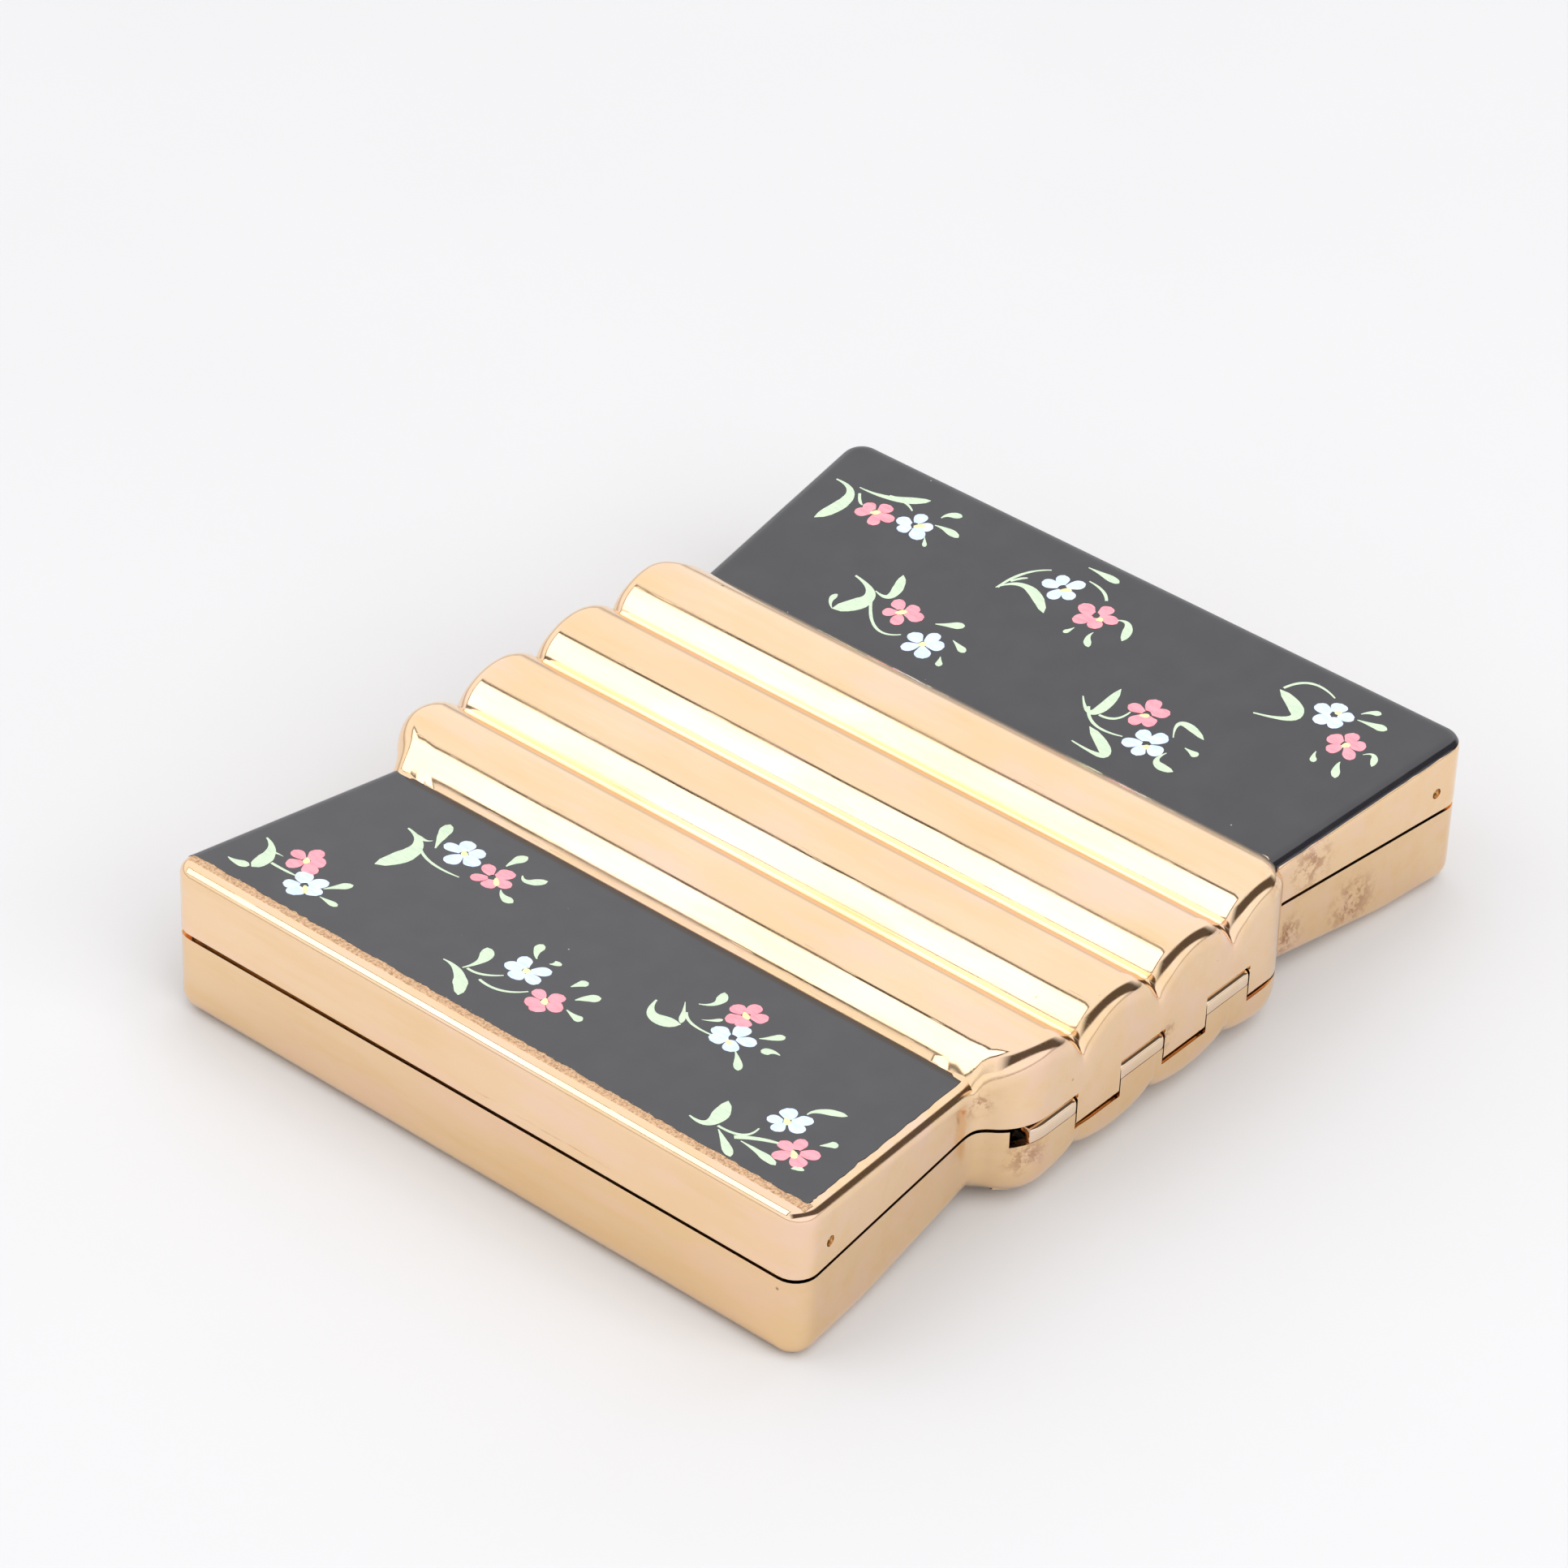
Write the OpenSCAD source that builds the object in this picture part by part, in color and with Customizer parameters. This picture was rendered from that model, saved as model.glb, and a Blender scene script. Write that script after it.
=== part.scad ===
// Bow-shaped powder compact with a ribbed band, two enamelled wings, a hinged mirror lid,
// a powder well under its own small door, a puff and a push-button catch.
// X runs across the bow, Y along the ribs with the hinge at +Y, Z up.
// The origin is on the table, under the middle of the case.

/* [Case outline] */
// Width across both wings
compact_w = 76; // [72:1:84]
// Depth of the wings at their outer edges
wing_d = 59; // [57:0.5:59]
// Depth of the wings where they meet the band
waist_d = 54.6; // [54:0.2:56]
// Width of the ribbed band
band_w = 34.4; // [34:0.2:36]
// Number of ribs across the band
rib_count = 4; // [3:1:5]
// Radius of the outer wing corners in plan
wing_corner_r = 1.8; // [1.4:0.1:2.4]
// Radius of the band's corners in plan
band_corner_r = 4.7; // [4.4:0.1:5]

/* [Case heights] */
// Height of the seam between base and lid
seam_z = 7.1; // [7:0.1:7.6]
// Height of the lid top at the outer edges
edge_z = 12.9; // [12.7:0.1:13.6]
// Height of the lid top beside the band
neck_z = 11.1; // [11.1:0.1:11.6]
// Rise of the lid ribs above their valleys
lid_rib_rise = 2.5; // [1.8:0.1:2.6]
// Rise of the underside from the rest land to the band
under_rise = 1.4; // [1.2:0.1:1.5]
// Rise of the ribs on the underside
base_rib_rise = 0.9; // [0.6:0.1:1]
// Sheet thickness of both shells
sheet = 0.7; // [0.6:0.05:0.75]

/* [Hinge] */
// Outer radius of the hinge knuckles
knuckle_r = 1.25; // [1.2:0.01:1.25]
// Radius of the hinge pin
pin_r = 0.5; // [0.4:0.05:0.55]
// Length of one hinge knuckle
knuckle_len = 4.95; // [4.8:0.05:4.95]

/* [Inside] */
// Size of the powder well across X
well_w = 44; // [40:1:44]
// Size of the powder well along Y
well_d = 40; // [36:1:40]
// Travel of the push button
button_travel = 0.5; // [0.4:0.1:0.5]

/* [Hidden] */
$fn = 64;

gold = "#d8b070";
dark_gold = "#b8925a";
enamel_black = "#232225";

// Half sizes of the outline
half_w = compact_w / 2;
half_band = band_w / 2;
half_waist = waist_d / 2;
flare_angle = atan2((wing_d - waist_d) / 2, half_w - half_band);
band_front = -wing_d / 2;
band_rear = wing_d / 2 + 0.7;
seam_gap = 0.3;
lid_z = seam_z + seam_gap / 2;
base_z = seam_z - seam_gap / 2;
far = 200;

// Wall heights above and below the seam: [at the outer edge, beside the band]
lid_heights = [edge_z - lid_z, neck_z - lid_z];
base_heights = [base_z, base_z - under_rise];
lid_edge_r = 1;
base_edge_r = 2.2;
land_x = 30;

// Depth of the rib valleys below the wing surfaces beside them
crease = 0.04;

// The hinge lies just inside the band's rear wall
hinge_y = band_rear - knuckle_r - 0.02;
hinge_z = seam_z - 1.5;
hinge_left = 14.1;
knuckle_gap = 0.06;
pin_fit = 0.03;
leaf_top = hinge_z - knuckle_r - 0.2;

// Levels of the fittings, from the table
deck_z = 5.2;
plate_t = 0.4;
frame_top = 8.2;
mirror_face_z = 8.9;
door_z = 5.7;
fit_gap = 0.1;
frame_rear = hinge_y - knuckle_r - 0.5;
latch_pocket = [12.2, band_front + 3.3];

// Powder door hinge
door_axis = [22.9, 6.45];
door_knuckle_r = 0.7;
door_knuckle_pitch = 5;
door_pin_r = 0.3;

// Latch at the front of the band
wall_in = band_front + sheet;
catch_y = wall_in + 0.85;
catch_t = 0.5;
button_z = 4.7;
button_size = [7.4, 2.2];
dimple_x = 34.6;
dimple_z = mirror_face_z + 0.2;

// ---------- shared shapes ----------

// Extrudes a profile drawn in X and Z along Y
module along_y(depth) rotate([90, 0, 0]) linear_extrude(depth, center = true) children();

// Extrudes a profile drawn in Y and Z along X
module along_x(width) rotate([90, 0, 90]) linear_extrude(width, center = true) children();

module box(low, high) translate(low) cube(high - low);

module rod(x0, x1, centre, r) translate([x0, centre[0], centre[1]]) rotate([0, 90, 0]) cylinder(h = x1 - x0, r = r);

module rounded_rect(low, high, r) {
    size = high - low;
    union() {
        translate([low[0] + r, low[1]]) square([size[0] - 2 * r, size[1]]);
        translate([low[0], low[1] + r]) square([size[0], size[1] - 2 * r]);
        for (x = [low[0] + r, high[0] - r], y = [low[1] + r, high[1] - r]) translate([x, y]) circle(r);
    }
}

function arc(centre, r, from, to) = [
    for (i = [0 : 8]) centre + r * [cos(from + (to - from) * i / 8), sin(from + (to - from) * i / 8)]
];

function flip_x(points) = [for (i = [len(points) - 1 : -1 : 0]) [-points[i][0], points[i][1]]];
function flip_y(points) = [for (i = [len(points) - 1 : -1 : 0]) [points[i][0], -points[i][1]]];

// An edge that starts at [x_in, y_in], slopes outwards at the given angle and ends in a
// round corner at x_out
function flared_edge(x_in, y_in, angle, x_out, r) = concat(
    [[x_in, y_in]],
    arc([x_out - r, y_in + tan(angle) * (x_out - r - x_in) - r / cos(angle)], r, 90 + angle, 0)
);

// ---------- case outline and shell blocks ----------

module wings_plan(inset) {
    corner_r = wing_corner_r - inset;
    edge = flared_edge(half_band, half_waist - inset / cos(flare_angle), flare_angle, half_w - inset, corner_r);
    right = concat(edge, flip_y(edge));
    polygon(concat(right, flip_x(right)));
}

module band_plan(inset) {
    rounded_rect(
        [-half_band + inset, band_front + inset],
        [half_band - inset, band_rear - inset],
        band_corner_r - inset
    );
}

module case_plan(inset) {
    union() {
        wings_plan(inset);
        band_plan(inset);
    }
}

// The profiles below stand on the seam and run a little past it, and past the outline:
// the outline trims their sides, and each shell is cut off flat at its own seam face
past = 0.01;

// A profile that is the same on both sides, closed under the seam
module standing_profile(edge) {
    foot = [edge[len(edge) - 1][0], -3];
    right = concat(edge, [foot]);
    polygon(concat(right, flip_x(right)));
}

// Lid wings: a straight slope with a round outer edge
module lid_wing_profile(inset) {
    angle = atan2(lid_heights[0] - lid_heights[1], half_w - half_band);
    start = half_band - 2;
    top = lid_heights[1] - 2 * tan(angle) - inset / cos(angle);
    standing_profile(flared_edge(start, top, angle, half_w - inset + past, max(lid_edge_r - inset, 0.3)));
}

// Base wings, upside down: a slope from the band, a flat rest land, then a round outer edge
module base_wing_profile(inset) {
    r = base_edge_r - inset;
    depth = base_heights[0] - inset;
    start = [half_band - 2, base_heights[1] - 2 * under_rise / (land_x - half_band) - inset];
    corner = [half_w - inset + past - r, depth - r];
    standing_profile(concat([start, [land_x, depth]], arc(corner, r, 90, 0)));
}

// Row of round-topped ribs that stand on the level height
module rib_profile(height, rise, inset) {
    pitch = band_w / rib_count;
    r = (pow(pitch / 2, 2) + pow(rise, 2)) / (2 * rise);
    intersection() {
        translate([-half_w, -2.5]) square([compact_w, height + rise + 4]);
        union() {
            translate([-half_w, -3]) square([compact_w, height - max(inset, 0.05) + 3]);
            for (i = [0 : rib_count - 1])
                translate([(i + 0.5) * pitch - half_band, height + rise - r]) circle(r - inset);
        }
    }
}

// Side view of the band, with its ends rounded over
module band_side_profile(height, end_r, inset) {
    low = band_front + inset - past;
    high = band_rear - inset + past;
    top = height - inset;
    r = max(end_r - inset, 0.4);
    union() {
        translate([low, -2.8]) square([high - low, top - r + 2.8]);
        translate([low + r, -2.8]) square([high - low - 2 * r, top + 2.8]);
        for (y = [low + r, high - r]) translate([y, top - r]) circle(r);
    }
}

module wing_block(inset) {
    intersection() {
        translate([0, 0, -20]) linear_extrude(50) wings_plan(inset);
        along_y(far) children();
    }
}

module band_block(height, rise, end_r, inset) {
    intersection() {
        translate([0, 0, -20]) linear_extrude(50) band_plan(inset);
        along_y(far) rib_profile(height, rise, inset);
        along_x(far) band_side_profile(height + rise, end_r, inset);
    }
}

module lid_block(inset) {
    wing_block(inset) lid_wing_profile(inset);
    band_block(lid_heights[1] - crease, lid_rib_rise + crease, 1.6, inset);
}

module base_block(inset) {
    wing_block(inset) base_wing_profile(inset);
    band_block(base_heights[1] - crease, base_rib_rise + crease, 2.4, inset);
}

// Hollow shell of sheet metal, cut flat at the seam: children are its outer and inner blocks
module hollow_shell() {
    intersection() {
        translate([-far / 2, -far / 2, 0]) cube([far, far, 30]);
        difference() {
            children(0);
            children(1);
        }
    }
}

// ---------- hinge ----------

// Left end of knuckle number i, counted from the +X end
function knuckle_x(i) = hinge_left - (i + 1) * knuckle_len;

module hinge_knuckle(i, r) {
    rod(knuckle_x(i) + knuckle_gap, knuckle_x(i) + knuckle_len - knuckle_gap, [hinge_y, hinge_z], r);
}

module pin_bore() rod(-half_w, half_w, [hinge_y, hinge_z], pin_r + pin_fit);

// ---------- base ----------

module base_shell() {
    color(gold) difference() {
        translate([0, 0, base_z]) mirror([0, 0, 1]) hollow_shell() {
            base_block(0);
            base_block(sheet);
        }
        box([-16, hinge_y - 3, leaf_top - 0.1], [15.4, band_rear + 1, seam_z + 1]);
        translate([0, band_front - 1, button_z]) rotate([-90, 0, 0]) linear_extrude(3)
            button_outline(0.1);
    }
}

module base_hinge_leaf() {
    front = band_rear - sheet - 0.7;
    back = band_rear - sheet - 0.02;
    color(dark_gold) difference() {
        union() {
            intersection() {
                linear_extrude(10) case_plan(sheet + 0.05);
                union() {
                    box([knuckle_x(4), front, leaf_top - 0.5], [hinge_left, back, leaf_top]);
                    for (i = [0, 2, 4]) box(
                        [knuckle_x(i) + knuckle_gap, front, leaf_top - 0.4],
                        [knuckle_x(i) + knuckle_len - knuckle_gap, back - 0.05, hinge_z]
                    );
                }
            }
            for (i = [0, 2, 4]) hinge_knuckle(i, knuckle_r - 0.05);
        }
        pin_bore();
    }
}

module hinge_pin() {
    color(dark_gold) rod(knuckle_x(5) + 0.5, hinge_left - 0.3, [hinge_y, hinge_z], pin_r);
}

// Outline of the frame that lines the base, stopped short of the hinge and the latch
module frame_plan(inset) {
    difference() {
        intersection() {
            case_plan(sheet + fit_gap + inset);
            translate([-half_w, band_front]) square([compact_w, frame_rear - inset - band_front]);
        }
        translate([-latch_pocket[0] - inset, band_front - 1])
            square([2 * (latch_pocket[0] + inset), latch_pocket[1] - band_front + 1 + inset]);
    }
}

module well_plan(grow) {
    half = [well_w / 2 + grow, well_d / 2 + grow];
    rounded_rect(-half, half, 3 + grow);
}

module inner_frame() {
    color(gold) difference() {
        union() {
            translate([0, 0, deck_z]) linear_extrude(plate_t) difference() {
                frame_plan(0);
                well_plan(0);
            }
            translate([0, 0, deck_z]) linear_extrude(frame_top - deck_z) difference() {
                frame_plan(0);
                frame_plan(plate_t);
            }
            for (i = [-4 : 2 : 4]) {
                door_knuckle(i);
                box(
                    [i * door_knuckle_pitch - 2.4, door_axis[0] - 0.4, deck_z + 0.1],
                    [i * door_knuckle_pitch + 2.4, door_axis[0] + 0.4, door_axis[1]]
                );
            }
        }
        door_pin_bore();
    }
}

module powder_pan() {
    floor_z = 2.4;
    color(gold) {
        difference() {
            translate([0, 0, floor_z]) linear_extrude(deck_z - floor_z) well_plan(-0.3);
            translate([0, 0, floor_z + plate_t]) linear_extrude(deck_z) well_plan(-0.3 - plate_t);
        }
        translate([0, 0, deck_z - plate_t]) linear_extrude(plate_t) difference() {
            well_plan(1);
            well_plan(-0.5);
        }
    }
}

module powder_cake() {
    color("#e8c4a4") translate([0, 0, 2.8]) linear_extrude(2) well_plan(-0.8);
}

module door_catch() {
    stop_y = latch_pocket[1] + 1.75;
    color(gold) {
        box([-2.5, latch_pocket[1] + plate_t + 0.1, deck_z + plate_t], [2.5, stop_y, deck_z + plate_t + 0.25]);
        box([-2.5, stop_y - 0.25, deck_z + plate_t], [2.5, stop_y, 7]);
        rod(-2, 2, [stop_y, 6.6], 0.2);
    }
}

// ---------- powder door and puff ----------

module door_knuckle(i) {
    x = i * door_knuckle_pitch;
    rod(x - 2.4, x + 2.4, door_axis, door_knuckle_r);
}

module door_pin_bore() rod(-half_w, half_w, door_axis, door_pin_r + pin_fit);

module door_hinge_pin() {
    color(dark_gold) rod(-22.2, 22.2, door_axis, door_pin_r);
}

module powder_door() {
    rear = door_axis[0] - 0.9;
    tab_front = latch_pocket[1] + 2.1;
    color(gold) difference() {
        union() {
            translate([0, 0, door_z]) linear_extrude(plate_t) {
                rounded_rect([-23.2, -21.4], [23.2, rear], 2);
                rounded_rect([-5, tab_front], [5, -20], 1.2);
            }
            for (i = [-3 : 2 : 3]) {
                door_knuckle(i);
                box(
                    [i * door_knuckle_pitch - 2.4, rear - 0.5, door_z + 0.06],
                    [i * door_knuckle_pitch + 2.4, door_axis[0], door_z + plate_t]
                );
            }
        }
        door_pin_bore();
    }
}

module puff_pad() {
    color("#f0e4d4") translate([0, 0, door_z + plate_t + 0.05]) linear_extrude(2.35)
        rounded_rect([-21, -18.5], [21, 19.5], 8);
}

module puff_ribbon() {
    color("#e9c9bd") box([-20.5, -4.5, door_z + plate_t + 2.42], [20.5, 5.5, door_z + plate_t + 2.65]);
}

// ---------- latch ----------

module button_outline(grow) {
    half = button_size / 2 + [grow, grow];
    rounded_rect(-half, half, half[1] - 0.02);
}

module push_button() {
    front = band_front - 0.7;
    color(gold) translate([0, front, button_z]) rotate([-90, 0, 0]) linear_extrude(catch_y - front)
        button_outline(0);
}

module catch_plate() {
    nose_z = 6.6;
    color(dark_gold) {
        box([-4.4, catch_y, 3.4], [4.4, catch_y + catch_t, nose_z + plate_t]);
        box([-4.4, catch_y - 0.35, nose_z], [4.4, catch_y + 0.1, nose_z + plate_t]);
    }
}

// Bowed leaf behind the catch plate, with both feet on the front wall
module catch_spring() {
    t = 0.25;
    foot = wall_in + 0.02;
    bow = catch_y + catch_t + button_travel + 0.1;
    color("silver") translate([0, 0, 3.4]) linear_extrude(2.2) polygon([
        [-11.5, foot], [-8.4, foot], [-4.9, bow], [4.9, bow], [8.4, foot], [11.5, foot],
        [11.5, foot + t], [8.6, foot + t], [5.1, bow + t], [-5.1, bow + t], [-8.6, foot + t], [-11.5, foot + t]
    ]);
}

// ---------- lid ----------

// Shallow pocket in a wing's top, which the enamel fills
module enamel_pocket(side) {
    depth = 0.2;
    grow = 0.5;
    angle = atan2(lid_heights[0] - lid_heights[1], half_w - half_band);
    inner = half_band + 0.15;
    outer = half_w - lid_edge_r;
    difference() {
        box([side > 0 ? inner : -outer, -40, neck_z - 1], [side > 0 ? outer : -inner, 40, edge_z + 5]);
        translate([0, 0, lid_z - depth - grow / cos(angle)]) wing_block(-grow) lid_wing_profile(-grow);
    }
}

module enamel_fill(side) {
    intersection() {
        enamel_pocket(side);
        translate([0, 0, lid_z]) wing_block(0) lid_wing_profile(0);
    }
}

// Lid wall rolled down round the hinge pin
module lid_tongue(i) {
    intersection() {
        translate([0, 0, hinge_z - 3]) linear_extrude(6) case_plan(0);
        union() {
            hinge_knuckle(i, knuckle_r);
            box(
                [knuckle_x(i) + knuckle_gap, band_rear - sheet + 0.02, hinge_z],
                [knuckle_x(i) + knuckle_len - knuckle_gap, band_rear - 0.01, lid_z + 0.3]
            );
        }
    }
}

module at_dimples() {
    for (sx = [-1, 1], sy = [-1, 1])
        translate([sx * dimple_x, sy * half_waist, dimple_z]) rotate([-90 * sy, 0, 0]) children();
}

module lid_shell() {
    color(gold) difference() {
        union() {
            translate([0, 0, lid_z]) hollow_shell() {
                lid_block(0);
                lid_block(sheet);
            }
            for (i = [1, 3, 5]) lid_tongue(i);
        }
        for (side = [-1, 1]) enamel_pocket(side);
        at_dimples() cylinder(h = 4, r = 0.45);
        pin_bore();
    }
}

module enamel_panel_right() color(enamel_black) enamel_fill(1);

module enamel_panel_left() color(enamel_black) enamel_fill(-1);

module mirror_window(grow) rounded_rect([-28 - grow, -21 - grow], [28 + grow, 21 + grow], 3 + grow);

module mirror_frame() {
    color(gold) {
        translate([0, 0, mirror_face_z]) linear_extrude(plate_t) difference() {
            case_plan(sheet + fit_gap);
            mirror_window(0);
        }
        at_dimples() translate([0, 0, 0.6]) cylinder(h = 0.95, r = 0.38);
    }
}

module mirror_glass() {
    color("#dfe6ea") translate([0, 0, mirror_face_z + plate_t]) linear_extrude(0.8) mirror_window(1.5);
}

module mirror_backing() {
    color("#8a7a66") translate([0, 0, mirror_face_z + plate_t + 0.8]) linear_extrude(0.2) mirror_window(1.5);
}

module lid_keeper() {
    blade_y = wall_in + 0.06;
    color(dark_gold) {
        box([-3.5, wall_in, 7.4], [3.5, wall_in + plate_t, mirror_face_z - 0.1]);
        box([-3.5, blade_y, 6.2], [3.5, wall_in + plate_t, 7.5]);
        box([-3.5, blade_y, 6.2], [3.5, catch_y - 0.1, 6.5]);
    }
}

base_shell();
base_hinge_leaf();
hinge_pin();
inner_frame();
powder_pan();
powder_cake();
door_catch();
door_hinge_pin();
powder_door();
puff_pad();
puff_ribbon();
push_button();
catch_plate();
catch_spring();
lid_shell();
enamel_panel_right();
enamel_panel_left();
mirror_frame();
mirror_glass();
mirror_backing();
lid_keeper();
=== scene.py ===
"""A bow-shaped powder compact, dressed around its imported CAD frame.

Lengths in this script are millimetres and are turned into metres when a mesh is made.
X runs across the bow, Y along the ribs with the hinge at +Y, Z up.
"""

import math
import random

import bmesh
import bpy
import numpy as np
from mathutils import Matrix, Vector, noise


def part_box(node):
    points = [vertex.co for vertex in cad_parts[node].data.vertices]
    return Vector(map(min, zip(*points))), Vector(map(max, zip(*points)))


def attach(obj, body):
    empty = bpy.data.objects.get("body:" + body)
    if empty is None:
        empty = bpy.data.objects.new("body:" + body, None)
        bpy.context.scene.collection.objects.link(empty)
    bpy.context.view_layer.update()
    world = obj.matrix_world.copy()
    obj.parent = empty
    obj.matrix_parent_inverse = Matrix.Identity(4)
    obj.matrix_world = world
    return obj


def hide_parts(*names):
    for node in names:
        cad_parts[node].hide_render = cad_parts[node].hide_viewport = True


MM = 0.001
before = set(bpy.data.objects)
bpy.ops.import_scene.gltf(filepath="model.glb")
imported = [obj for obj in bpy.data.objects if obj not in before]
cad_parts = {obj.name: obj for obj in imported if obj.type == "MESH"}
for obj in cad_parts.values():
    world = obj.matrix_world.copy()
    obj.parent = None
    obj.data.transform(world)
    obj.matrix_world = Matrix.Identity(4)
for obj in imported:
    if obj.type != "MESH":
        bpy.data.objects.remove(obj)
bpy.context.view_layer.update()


def node_box(name):
    """Lowest and highest corner of a CAD node, in millimetres."""
    low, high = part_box(name)
    return np.array(low) / MM, np.array(high) / MM


lid_low, lid_high = node_box("lid_shell")
base_high = node_box("base_shell")[1]

# Driving sizes of the case
HALF_W = lid_high[0]
REAR = lid_high[1]
FRONT = -lid_low[1]
HALF_BAND = 17.2
HALF_WAIST = 27.3
FLARE = math.atan2(2.2, HALF_W - HALF_BAND)
WING_CORNER = 1.8
BAND_CORNER = 4.7
RIBS = 4
PITCH = 2 * HALF_BAND / RIBS
SHEET = 0.7
LID_SEAM = 7.25
BASE_SEAM = base_high[2]
EDGE_Z = 12.9
NECK_Z = 11.1
LID_RISE = lid_high[2] - NECK_Z
UNDER_RISE = 1.4
BASE_RISE = 0.9
LAND_X = 30.0
HINGE = (28.93, 5.6)   # Y and Z of the pin
KNUCKLE_R = 1.25
KNUCKLE = 4.95
HINGE_LEFT = 14.1
OPENING = (-16.0, 15.4, 4.05)   # X from and to, and Z
PIN_HOLE_R = 0.55


# ---------- small helpers ----------


def rise(value, low, high):
    """Smooth step from 0 at low to 1 at high."""
    t = np.clip((value - low) / (high - low), 0, 1)
    return t * t * (3 - 2 * t)


def wobble(x, y, z, size, seed=0.0):
    """Smooth noise between about -1 and 1, with features of that size in millimetres."""
    return noise.noise(Vector((x / size + seed, y / size - seed, z / size + 2 * seed)))


def make_object(name, points, faces, material, smooth=True):
    """A mesh object from points in millimetres."""
    mesh = bpy.data.meshes.new(name)
    mesh.from_pydata([tuple(np.array(p, float) * MM) for p in points], [], faces)
    mesh.validate()
    if smooth:
        mesh.shade_smooth()
    mesh.materials.append(material)
    obj = bpy.data.objects.new(name, mesh)
    bpy.context.scene.collection.objects.link(obj)
    return obj


def grid_faces(rows, columns, flip=False):
    """Faces of a grid of points that is filled row by row."""
    step = columns + 1
    faces = []
    for r in range(rows):
        for c in range(columns):
            a = r * step + c
            quad = (a, a + step, a + step + 1, a + 1)
            faces.append(tuple(reversed(quad)) if flip else quad)
    return faces


def loft(name, rings, material):
    """A closed form through rings of points, with flat ends."""
    n = len(rings[0])
    points = [point for ring in rings for point in ring]
    last = len(points) - n
    faces = []
    for k in range(0, last, n):
        faces += [(k + i, k + (i + 1) % n, k + n + (i + 1) % n, k + n + i) for i in range(n)]
    faces += [tuple(range(n - 1, -1, -1)), tuple(range(last, last + n))]
    return make_object(name, points, faces, material, smooth=False)


def add_modifier(obj, kind, **settings):
    modifier = obj.modifiers.new(kind.lower(), kind)
    for key, value in settings.items():
        setattr(modifier, key, value)
    return modifier


def apply_modifiers(obj):
    """Turns the object's modifiers into its mesh."""
    graph = bpy.context.evaluated_depsgraph_get()
    mesh = bpy.data.meshes.new_from_object(obj.evaluated_get(graph))
    obj.modifiers.clear()
    obj.data = mesh


def mark_creases(obj, angle=35):
    """Smooth shading with hard edges where two faces meet at more than the angle."""
    form = bmesh.new()
    form.from_mesh(obj.data)
    bmesh.ops.recalc_face_normals(form, faces=form.faces)
    for face in form.faces:
        face.smooth = True
    for edge in form.edges:
        if len(edge.link_faces) == 2 and edge.calc_face_angle(0) > math.radians(angle):
            edge.smooth = False
    form.to_mesh(obj.data)
    form.free()


def bevelled(obj, width, segments=2, angle=30):
    """Rounds the object's hard edges by that width in millimetres."""
    add_modifier(obj, "BEVEL", width=width * MM, segments=segments, limit_method="ANGLE",
                 angle_limit=math.radians(angle))
    apply_modifiers(obj)
    mark_creases(obj, 45)
    return obj


def prism(name, outline, x0, x1, material, parts=1, limit=lambda x: math.inf):
    """A closed outline in Y and Z, drawn out along X and cut off where Y passes the limit."""
    rings = [[(x, min(y, limit(x)), z) for y, z in outline] for x in np.linspace(x0, x1, parts + 1)]
    return loft(name, rings, material)


def join(objects):
    """Joins the objects' meshes into the first."""
    form = bmesh.new()
    for obj in objects:
        form.from_mesh(obj.data)
    form.to_mesh(objects[0].data)
    form.free()
    for obj in objects[1:]:
        bpy.data.objects.remove(obj)
    return objects[0]


# ---------- materials ----------


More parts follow.
